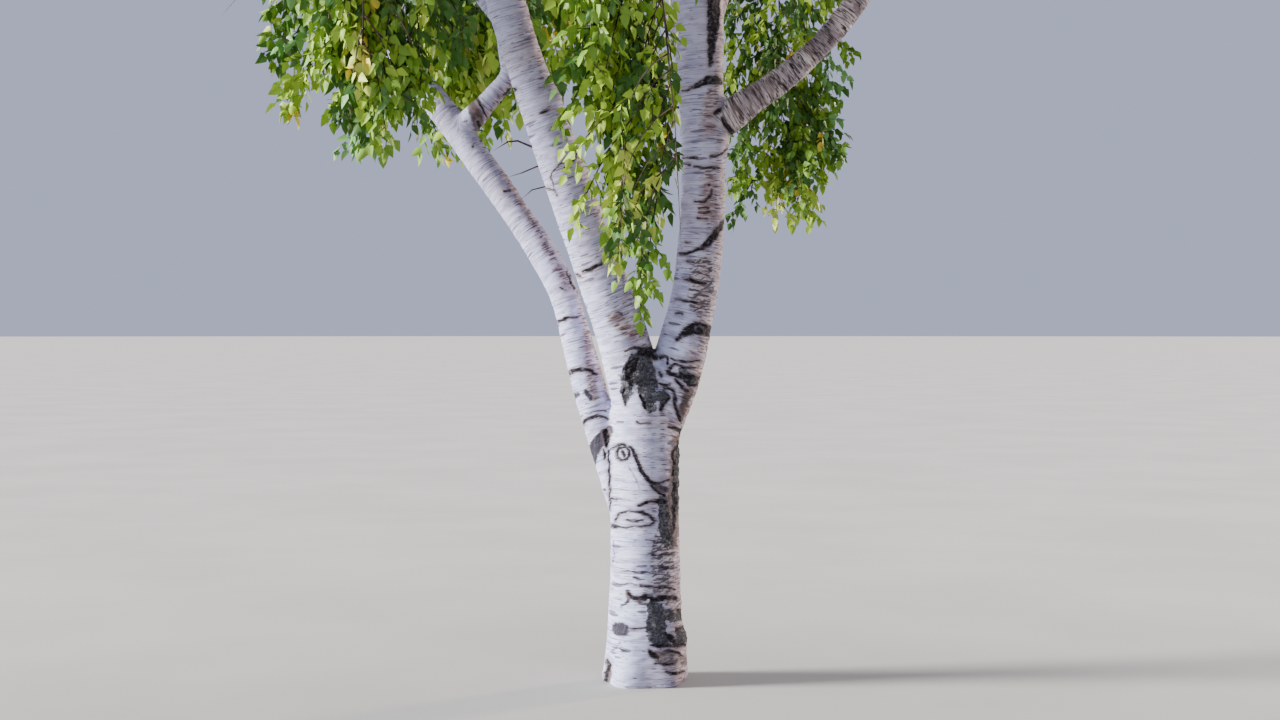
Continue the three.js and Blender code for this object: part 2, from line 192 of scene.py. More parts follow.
class Limb:
    """A limb's centre line from its start, with a side direction that is carried along without twist."""

    def __init__(self, start, spec):
        self.spec = spec
        self.length = spec["length"]
        self.base_height = start[2]
        self.steps = math.ceil(self.length / LINE_STEP - NEARLY_NONE)
        self.step = self.length / self.steps
        points = [np.array(start, float)]
        sides = [direction_of(spec["heading"] + 90, 90)]
        for i in range(self.steps):
            points.append(points[i] + self.towards((i + 0.5) * self.step) * self.step)
            ahead = self.towards((i + 1) * self.step)
            sides.append(unit(sides[i] - ahead * (sides[i] @ ahead)))
        self.points, self.sides = np.array(points), np.array(sides)

    def towards(self, s):
        heading = self.spec["heading"] + self.spec["swing"] * s / self.length
        return direction_of(heading, np.interp(s, *zip(*self.spec["leans"])))

    def radius(self, s):
        return np.interp(s, *zip(*self.spec["radii"]))

    def place(self, s):
        """Point, direction, side and radius at distances s along the limb."""
        s = np.asarray(s, float)
        i = np.clip(np.floor(s / self.step).astype(int), 0, self.steps - 1)
        t = (s / self.step - i)[..., None]
        direction = self.towards(s)
        side = self.sides[i] * (1 - t) + self.sides[i + 1] * t
        side = unit(side - direction * np.sum(side * direction, axis=-1, keepdims=True))
        return self.points[i] * (1 - t) + self.points[i + 1] * t, direction, side, self.radius(s)


def short_name(limb):
    return limb.replace("_stem", "").replace("_bough", "")


def side_bough(limbs, on, rule, k):
    share = k / (rule["count"] - 1)
    at = rule["first"] + (rule["last"] - rule["first"]) * share
    length = float(np.interp(share, *zip(*rule["lengths"])))
    lean = rule["leans"][0] + (rule["leans"][1] - rule["leans"][0]) * share
    most = float(limbs[on].radius(at)) * SIDE_BOUGH["most_of_parent"]
    root = min(most, SIDE_BOUGH["root"] + length * SIDE_BOUGH["root_per_length"])
    return dict(
        on=on, at=at, length=length, heading=rule["heading"] + GOLDEN_ANGLE * k, swing=SIDE_BOUGH["swing"],
        leans=[(0, lean), (length / 2, lean - SIDE_BOUGH["rise"]), (length, lean + SIDE_BOUGH["sink"])],
        radii=[(0, root * SIDE_BOUGH["swell"]), (root + length * SIDE_BOUGH["collar"], root),
               (length, SIDE_BOUGH["tip"])],
    )


def grow_limbs():
    """Every limb by name, the trunk first and each after what carries it."""
    limbs = {"trunk": Limb((0, 0, 0), TRUNK)}

    def add(name, spec):
        start = limbs[spec["on"]].place(spec["at"])[0]
        limbs[name] = Limb(start, spec)

    for name, spec in {**STEMS, **MAIN_BOUGHS}.items():
        add(name, spec)
    for on, rule in SIDE_BOUGHS.items():
        for k in range(rule["count"]):
            add(f"{short_name(on)}_side_bough_{k + 1}", side_bough(limbs, on, rule, k))
    return limbs


limbs = grow_limbs()


# Pieces and materials

def finish_piece(piece, slot, *nodes):
    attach(piece, "root")
    if nodes:
        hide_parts(*nodes)
    return piece


def piece_from(name, mesh, material=None):
    piece = bpy.data.objects.new(name, mesh)
    bpy.context.scene.collection.objects.link(piece)
    mesh.materials.clear()
    if material:
        mesh.materials.append(material)
    return piece


def add_node(tree, kind, settings=None, **sockets):
    """A shader node, with its sockets linked where a socket is given and set where a value is."""
    made = tree.nodes.new(kind)
    for key, value in (settings or {}).items():
        setattr(made, key, value)
    for key, value in sockets.items():
        socket = made.inputs[int(key[1:])] if key[0] == "i" and key[1:].isdigit() else made.inputs[key]
        if isinstance(value, bpy.types.NodeSocket):
            tree.links.new(value, socket)
        else:
            socket.default_value = value
    return made


class Finish:
    """One material in the making: short words for the nodes that bark and leaves need."""

    def __init__(self, name, roughness, specular=0.3):
        self.material = bpy.data.materials.new(name)
        self.material.use_nodes = True
        self.tree = self.material.node_tree
        self.shader = self.tree.nodes["Principled BSDF"]
        self.shader.inputs["Specular IOR Level"].default_value = specular
        self.shader.inputs["Roughness"].default_value = roughness

    def attribute(self, name):
        return add_node(self.tree, "ShaderNodeAttribute", dict(attribute_name=name))

    def place(self):
        return add_node(self.tree, "ShaderNodeTexCoord").outputs["Object"]

    def math(self, operation, a, b=0.0, c=0.0, clamp=False):
        settings = dict(operation=operation, use_clamp=clamp)
        return add_node(self.tree, "ShaderNodeMath", settings, i0=a, i1=b, i2=c).outputs[0]

    def plus(self, a, b):
        return self.math("ADD", a, b)

    def less(self, a, b):
        return self.math("SUBTRACT", a, b)

    def times(self, a, b):
        return self.math("MULTIPLY", a, b)

    def times_plus(self, a, b, c, clamp=False):
        return self.math("MULTIPLY_ADD", a, b, c, clamp)

    def larger(self, a, b):
        return self.math("MAXIMUM", a, b)

    def scaled(self, vector, scale):
        node = add_node(self.tree, "ShaderNodeVectorMath", dict(operation="MULTIPLY"), i0=vector, i1=scale)
        return node.outputs[0]

    def noise(self, vector, scale=1.0, detail=3.0, roughness=0.55):
        sockets = dict(Vector=vector, Scale=scale, Detail=detail, Roughness=roughness)
        return add_node(self.tree, "ShaderNodeTexNoise", None, **sockets).outputs[0]

    def level(self, grain, across, up, detail=3.0, roughness=0.6):
        """Noise with so many details to a metre across a limb and up it."""
        return self.noise(self.scaled(grain, (across, across, up)), detail=detail, roughness=roughness)

    def height_of(self, grain):
        return add_node(self.tree, "ShaderNodeSeparateXYZ", None, Vector=grain).outputs[2]

    def cells(self, vector):
        """Distance to the nearest cell's middle, and a number that is that cell's own."""
        node = add_node(self.tree, "ShaderNodeTexVoronoi", None, Vector=vector, Scale=1.0)
        own = add_node(self.tree, "ShaderNodeSeparateColor", None, Color=node.outputs["Color"]).outputs[0]
        return node.outputs["Distance"], own

    def cracks(self, vector):
        """Distance to the nearest edge between cells."""
        settings = dict(feature="DISTANCE_TO_EDGE")
        node = add_node(self.tree, "ShaderNodeTexVoronoi", settings, Vector=vector, Scale=1.0)
        return node.outputs["Distance"]

    def tilted(self, grain, degrees):
        """The grain turned about Y, so that what ran level runs aslant across the front."""
        settings, angle = dict(rotation_type="Y_AXIS"), math.radians(degrees)
        return add_node(self.tree, "ShaderNodeVectorRotate", settings, Vector=grain, Angle=angle).outputs[0]

    def ramp(self, value, low, high, to_low=0.0, to_high=1.0):
        settings = dict(interpolation_type="SMOOTHSTEP")
        node = add_node(
            self.tree, "ShaderNodeMapRange", settings, i0=value, i1=low, i2=high, i3=to_low, i4=to_high)
        return node.outputs[0]

    def contour(self, noise_value, solid, clear):
        """Thin lines where noise passes its middle."""
        return self.ramp(self.math("ABSOLUTE", self.less(noise_value, 0.5)), solid, clear, 1, 0)

    def mix(self, share, a, b):
        node = add_node(self.tree, "ShaderNodeMix", dict(data_type="RGBA"))
        for index, value in ((0, share), (6, a), (7, b)):
            if isinstance(value, bpy.types.NodeSocket):
                self.tree.links.new(value, node.inputs[index])
            else:
                node.inputs[index].default_value = value if index == 0 else (*value, 1)
        return node.outputs[2]

    def bump(self, height, distance, strength=1.0):
        sockets = dict(Height=height, Distance=distance, Strength=strength)
        return add_node(self.tree, "ShaderNodeBump", None, **sockets).outputs[0]

    def connect(self, socket, value):
        self.tree.links.new(value, self.shader.inputs[socket])


def shade(red, green, blue):
    """A colour given as a screen shows it, 0 to 255, in the linear numbers that materials take."""
    screen = red, green, blue
    return tuple(((c / 255 + 0.055) / 1.055) ** 2.4 if c > 10 else c / 255 / 12.92 for c in screen)


PAPER_WHITE = shade(214, 219, 255)
CREAM = shade(210, 194, 196)
PINK_BROWN = shade(132, 104, 104)
COOL_GREY = shade(110, 108, 152)
# Painted shade under the crown: the grey that the bark turns higher up the stems.
CROWN_SHADE_GREY = shade(138, 130, 150)
STREAK_GREY = shade(92, 84, 108)
STAIN_BROWN = shade(84, 58, 48)
STAIN_DARK = shade(32, 24, 24)
CRACK_GREY = shade(62, 54, 62)
TICK_BROWN = shade(78, 54, 50)
SCAR_BLACK = shade(22, 18, 22)
SCAR_GREY = shade(86, 78, 88)
SCAR_EDGE = shade(146, 126, 128)
SMUDGE_GREY = shade(30, 26, 38)
SMUDGE_PALE = shade(70, 63, 84)
ROUGH_DARK = shade(38, 37, 40)
ROUGH_GREY = shade(106, 105, 112)
ROUGH_GREEN = shade(78, 88, 76)
BOUGH_PINK = shade(222, 206, 208)
BOUGH_GREY = shade(158, 144, 152)
TWIG_DARK = shade(48, 34, 30)
TWIG_PALE = shade(92, 70, 60)
# The first of these marks holds painted shade where the bark faces right and down, together with worn,
# ticked stretches.
BARK_MARKS = ("weathered", "stain", "scar", "smudge", "rough", "cracked", "thin")


def thin_bark(f, grain):
    """Colour and relief of a bough's thin bark: pinkish grey, wrinkled, ringed with black, ticked."""
    colour = f.mix(f.ramp(f.level(grain, 9, 7), 0.38, 0.62), BOUGH_PINK, BOUGH_GREY)
    wrinkle = f.level(grain, 14, 130, detail=4)
    colour = f.mix(f.ramp(wrinkle, 0.47, 0.62, 0, 0.85), colour, TICK_BROWN)
    mottle = f.ramp(f.level(grain, 13, 20, detail=4), 0.5, 0.62, 0, 0.55)
    colour = f.mix(mottle, colour, STAIN_BROWN)
    ring = f.contour(f.level(grain, 5, 24, detail=3), 0.004, 0.018)
    ring = f.times(ring, f.ramp(f.level(grain, 9, 11, detail=2), 0.44, 0.56))
    colour = f.mix(f.times(ring, 0.9), colour, SCAR_BLACK)
    tick_at, tick_own = f.cells(f.scaled(grain, (30, 30, 120)))
    tick = f.ramp(f.less(tick_at, f.times(tick_own, 0.42)), -0.07, 0.06, 1, 0)
    colour = f.mix(f.times(tick, 0.8), colour, SCAR_BLACK)
    height = f.times_plus(wrinkle, 0.005, f.times(f.larger(tick, ring), -0.0016))
    return colour, height


def paper(f, grain, weathered, busy):
    """The paper's colour: warmer on worn stretches and, as painted shade, where it faces right and down;
    greyer higher up, as painted shade under the crown; and its level streaks.
    """
    warmth = f.ramp(f.level(grain, 3, 4, detail=2), 0.46, 0.72, 0, 0.35)
    warmth = f.times_plus(weathered, 0.85, warmth, clamp=True)
    colour = f.mix(warmth, PAPER_WHITE, CREAM)
    # Painted shade of the crown: the bark turns greyer higher up the stems.
    crown_shade = f.ramp(f.height_of(grain), 1.4, 2.5, 0, 0.42)
    cloud = f.ramp(f.level(grain, 9, 34, detail=4), 0.42, 0.68, 0, 0.5)
    colour = f.mix(crown_shade, f.mix(cloud, colour, COOL_GREY), CROWN_SHADE_GREY)
    # Pink-brown blush on worn stretches and, as painted shade, on the sides that face right and down.
    blush = f.times(f.ramp(f.level(grain, 16, 75), 0.4, 0.58), weathered)
    colour = f.mix(f.times(blush, 0.8), colour, PINK_BROWN)
    streak = f.level(grain, 6, 170, detail=4)
    colour = f.mix(f.times(f.ramp(streak, 0.48, 0.66, 0, 0.9), busy), colour, STREAK_GREY)
    return colour, streak


def brown_stain(f, grain, stain_edge, colour):
    brown = f.ramp(stain_edge, -0.009, 0.006, 0.92, 0)
    stained = f.mix(f.ramp(f.level(grain, 40, 110, detail=4), 0.42, 0.62), STAIN_DARK, STAIN_BROWN)
    return f.mix(brown, colour, stained)


def torn_edges(f, grain, colour):
    """Torn edges of the paper, which run level and break off, and the sheets that they bound."""
    sheet = f.level(grain, 2.2, 46, detail=3)
    torn = f.contour(sheet, 0.003, 0.012)
    torn = f.times(torn, f.ramp(f.level(grain, 11, 16, detail=2), 0.42, 0.62))
    return f.mix(f.times(torn, 0.6), colour, TICK_BROWN), sheet


def ticks_and_dashes(f, grain, weathered, fray, colour):
    """Ticks, denser on worn stretches and, as painted shade, where the bark faces right and down; and a few
    longer dashes.
    """
    tick_at, tick_own = f.cells(f.scaled(grain, (24, 24, 150)))
    tick_size = f.times_plus(weathered, 0.42, f.ramp(tick_own, 0.4, 1, -0.16, 0.26))
    tick = f.ramp(f.less(tick_at, tick_size), -0.1, 0.05, 1, 0)
    colour = f.mix(f.times(tick, 0.8), colour, TICK_BROWN)
    dash_at, dash_own = f.cells(f.scaled(grain, (8, 8, 44)))
    dash_size = f.ramp(dash_own, 0.6, 1, -0.14, 0.34)
    frayed = f.times_plus(fray, 0.3, f.less(dash_at, dash_size))
    dash = f.ramp(frayed, 0.1, 0.19, 1, 0)
    return f.mix(f.times(dash, 0.85), colour, STREAK_GREY), tick, dash


def wrinkled_cracks(f, grain, cracked, busy, colour):
    """Cracks in wrinkled bark, some level and some aslant."""
    level_crack = f.ramp(f.level(grain, 22, 110, detail=4), 0.5, 0.58)
    slant_crack = f.ramp(f.level(f.tilted(grain, 32), 20, 95, detail=3), 0.53, 0.61)
    cover = f.ramp(f.times_plus(busy, 0.35, cracked), 0.45, 1.0)
    cracks = f.times(f.larger(level_crack, slant_crack), cover)
    colour = f.mix(f.times(cover, 0.4), colour, CREAM)
    return f.mix(f.times(cracks, 0.88), colour, CRACK_GREY), cracks


def worn_smudges(f, grain, smudge_edge, colour):
    worn = f.ramp(smudge_edge, -0.006, 0.003, 1, 0)
    scratch = f.level(f.tilted(grain, 75), 22, 110, detail=3)
    worn_colour = f.mix(f.ramp(scratch, 0.44, 0.7), SMUDGE_GREY, SMUDGE_PALE)
    return f.mix(f.times(worn, 0.98), colour, worn_colour)


def rough_bark(f, grain, rough, blotch, colour):
    """Patches of rough crusted bark, mottled dark and grey with a little green."""
    mottle = f.level(grain, 26, 34, detail=5, roughness=0.7)
    patch = f.ramp(f.plus(rough, f.times_plus(mottle, 0.06, -0.03)), -0.005, 0.004, 1, 0)
    crust = f.ramp(f.cracks(f.scaled(grain, (46, 46, 60))), 0.02, 0.16, 1, 0)
    patch_colour = f.mix(f.ramp(blotch, 0.4, 0.6), ROUGH_DARK, ROUGH_GREY)
    patch_colour = f.mix(f.ramp(mottle, 0.5, 0.66, 0, 0.6), patch_colour, ROUGH_GREEN)
    patch_colour = f.mix(f.times(crust, 0.55), patch_colour, ROUGH_DARK)
    return f.mix(f.times(patch, 0.94), colour, patch_colour), patch, crust


def black_scars(f, grain, scar_edge, patch, blotch, colour):
    """Black scars, greyer in blotches, with a pale brown edge where they don't lie on rough bark."""
    inside = f.ramp(scar_edge, -0.0052, 0.0055, 1, 0)
    inside = f.times(inside, f.ramp(f.level(grain, 34, 60, detail=4), 0.32, 0.5, 0.7, 1))
    halo = f.times(f.ramp(scar_edge, 0.0, 0.018, 0.5, 0), f.less(1.0, patch))
    colour = f.mix(halo, colour, SCAR_EDGE)
    scar_colour = f.mix(f.ramp(blotch, 0.5, 0.66, 0, 0.85), SCAR_BLACK, SCAR_GREY)
    return f.mix(inside, colour, scar_colour), inside


def white_bark():
    """Papery white bark, which turns to thin bark on the boughs. Its marks have frayed edges."""
    f = Finish("white_bark", 0.72)
    grain = f.attribute("grain").outputs["Vector"]
    marks = [f.attribute(name).outputs["Fac"] for name in BARK_MARKS]
    weathered, stain, scar, smudge, rough, cracked, thin = marks
    busy = f.ramp(f.level(grain, 4, 9, detail=2), 0.36, 0.64, 0.25, 1)
    fray = f.level(grain, 36, 300, detail=3)
    ragged = f.times_plus(fray, 0.026, -0.013)
    blotch = f.level(grain, 62, 78, detail=5, roughness=0.7)

    colour, streak = paper(f, grain, weathered, busy)
    colour = brown_stain(f, grain, f.plus(stain, ragged), colour)
    colour, sheet = torn_edges(f, grain, colour)
    colour, tick, dash = ticks_and_dashes(f, grain, weathered, fray, colour)
    colour, cracks = wrinkled_cracks(f, grain, cracked, busy, colour)
    thin_colour, thin_height = thin_bark(f, grain)
    colour = f.mix(thin, colour, thin_colour)
    colour = worn_smudges(f, grain, f.plus(smudge, ragged), colour)
    colour, patch, crust = rough_bark(f, grain, rough, blotch, colour)
    colour, inside = black_scars(f, grain, f.plus(scar, ragged), patch, blotch, colour)
    f.connect("Base Color", colour)

    relief = (
        (streak, 0.0009), (f.ramp(sheet, 0.49, 0.51), 0.0008), (tick, -0.0008), (dash, -0.0012),
        (cracks, -0.0025), (inside, -0.002),
        (f.times(patch, blotch), 0.008), (f.times(patch, crust), -0.003),
    )
    height = f.times(thin, thin_height)
    for part, high in relief:
        height = f.times_plus(part, high, height)
    f.connect("Normal", f.bump(height, 1.0))
    f.connect("Roughness", f.ramp(f.plus(inside, patch), 0, 1, 0.68, 0.9))
    return f.material


def bough_bark():
    """The thin bark of a bough that is thin bark all over."""
    f = Finish("bough_bark", 0.78)
    colour, height = thin_bark(f, f.attribute("grain").outputs["Vector"])
    f.connect("Base Color", colour)
    f.connect("Normal", f.bump(height, 1.0))
    return f.material


def twig_bark():
    """Dark thin bark of twigs, a little paler along some stretches."""
    f = Finish("twig_bark", 0.7)
    tone = f.noise(f.place(), 30, detail=2)
    f.connect("Base Color", f.mix(f.ramp(tone, 0.4, 0.65), TWIG_DARK, TWIG_PALE))
    return f.material


def leaf_green(name, colour, roughness=0.5):
    """A leaf's plain colour, with fine veins across it in relief and patches of more and less gloss."""
    f = Finish(name, roughness, specular=0.35)
    f.shader.inputs["Base Color"].default_value = (*colour, 1)
    place = f.place()
    gloss = f.ramp(f.noise(place, 60, detail=2), 0.35, 0.65, roughness - 0.08, roughness + 0.12)
    f.connect("Roughness", gloss)
    f.connect("Normal", f.bump(f.noise(place, 220, detail=2), 0.0015, 0.5))
    return f.material


# Bark meshes

BLEND_DEPTH = 0.012  # how deep limbs run into each other where their grain blends
LIMB_MARGIN = 0.3
FAR_OFF = 0.1
THIN_BARKED = ("east_bough",)


def foot_lobes(angle, s):
    fade = np.maximum(0, 1 - s / FOOT_LOBES["height"]) ** 2
    wave = np.cos(FOOT_LOBES["count"] * angle + math.radians(FOOT_LOBES["turn"]))
    return 1 + FOOT_LOBES["share"] * fade * wave


def tube(bm, limb, start, end, sides, spacing, lobed=None, extra=0.0):
    """A cylinder laid along a limb from one distance to another, with its radius and some extra."""
    first = len(bm.verts)
    made = bmesh.ops.create_cone(bm, cap_ends=True, segments=sides, radius1=1, radius2=1, depth=1)["verts"]
    upright = {
        edge for vert in made for edge in vert.link_edges
        if abs(edge.verts[0].co.z - edge.verts[1].co.z) > 0.5
    }
    cuts = max(1, round((end - start) / spacing) - 1)
    bmesh.ops.subdivide_edges(bm, edges=list(upright), cuts=cuts, use_grid_fill=True)
    bm.verts.ensure_lookup_table()
    verts = bm.verts[first:]
    flat = np.array([vert.co for vert in verts])
    s = start + (end - start) * (flat[:, 2] + 0.5)
    point, direction, side, radius = limb.place(s)
    if lobed:
        radius = radius * lobed(np.arctan2(flat[:, 1], flat[:, 0]), s)
    radius = radius + extra
    other = np.cross(side, direction)
    laid = point + side * (flat[:, :1] * radius[:, None]) + other * (flat[:, 1:2] * radius[:, None])
    for vert, place in zip(verts, laid):
        vert.co = place
    return verts


def shade_smooth(mesh):
    for face in mesh.polygons:
        face.use_smooth = True


def mesh_from(bm, name):
    bmesh.ops.recalc_face_normals(bm, faces=bm.faces)
    mesh = bpy.data.meshes.new(name)
    bm.to_mesh(mesh)
    bm.free()
    shade_smooth(mesh)
    return mesh


def coordinates(mesh):
    co = np.empty(len(mesh.vertices) * 3)
    mesh.vertices.foreach_get("co", co)
    return co.reshape(-1, 3)


def normals(mesh):
    out = np.empty(len(mesh.vertices) * 3)
    mesh.vertex_normals.foreach_get("vector", out)
    return out.reshape(-1, 3)


def limb_reach(points, limb):
    """How far along a limb each point lies, and how far off the limb's surface."""
    best = np.full(len(points), np.inf)
    nearest = np.zeros(len(points), int)
    low, high = points[:, 2].min() - LIMB_MARGIN, points[:, 2].max() + LIMB_MARGIN
    for i, point in enumerate(limb.points):
        if not low < point[2] < high:
            continue
        away = np.sum((points - point) ** 2, axis=1)
        closer = away < best
        best[closer] = away[closer]
        nearest[closer] = i
    s = nearest * limb.step
    s = np.clip(s + np.sum((points - limb.points[nearest]) * limb.towards(s), axis=1), 0, limb.length)
    return s, np.linalg.norm(points - limb.place(s)[0], axis=1) - limb.radius(s)


def blend_limbs(points, names):
    """A height that runs on from limb to limb, the share of thin-barked limbs, and how near a fork is."""
    reach = [limb_reach(points, limbs[name]) for name in names]
    off = np.array([away for _, away in reach])
    weight = np.exp(-np.maximum(off, 0) / BLEND_DEPTH) + NEARLY_NONE
    share = weight / weight.sum(axis=0)
    height = sum(share[i] * (limbs[name].base_height + reach[i][0]) for i, name in enumerate(names))
    thin = sum((share[i] for i, name in enumerate(names) if name in THIN_BARKED), np.zeros(len(points)))
    second = np.sort(np.abs(off), axis=0)[1] if len(names) > 1 else np.full(len(points), FAR_OFF)
    return height, thin, second


def store(mesh, name, values):
    kind = "FLOAT_VECTOR" if values.ndim == 2 else "FLOAT"
    layer = mesh.attributes.new(name, kind, "POINT")
    layer.data.foreach_set("vector" if values.ndim == 2 else "value", values.astype(np.float32).ravel())


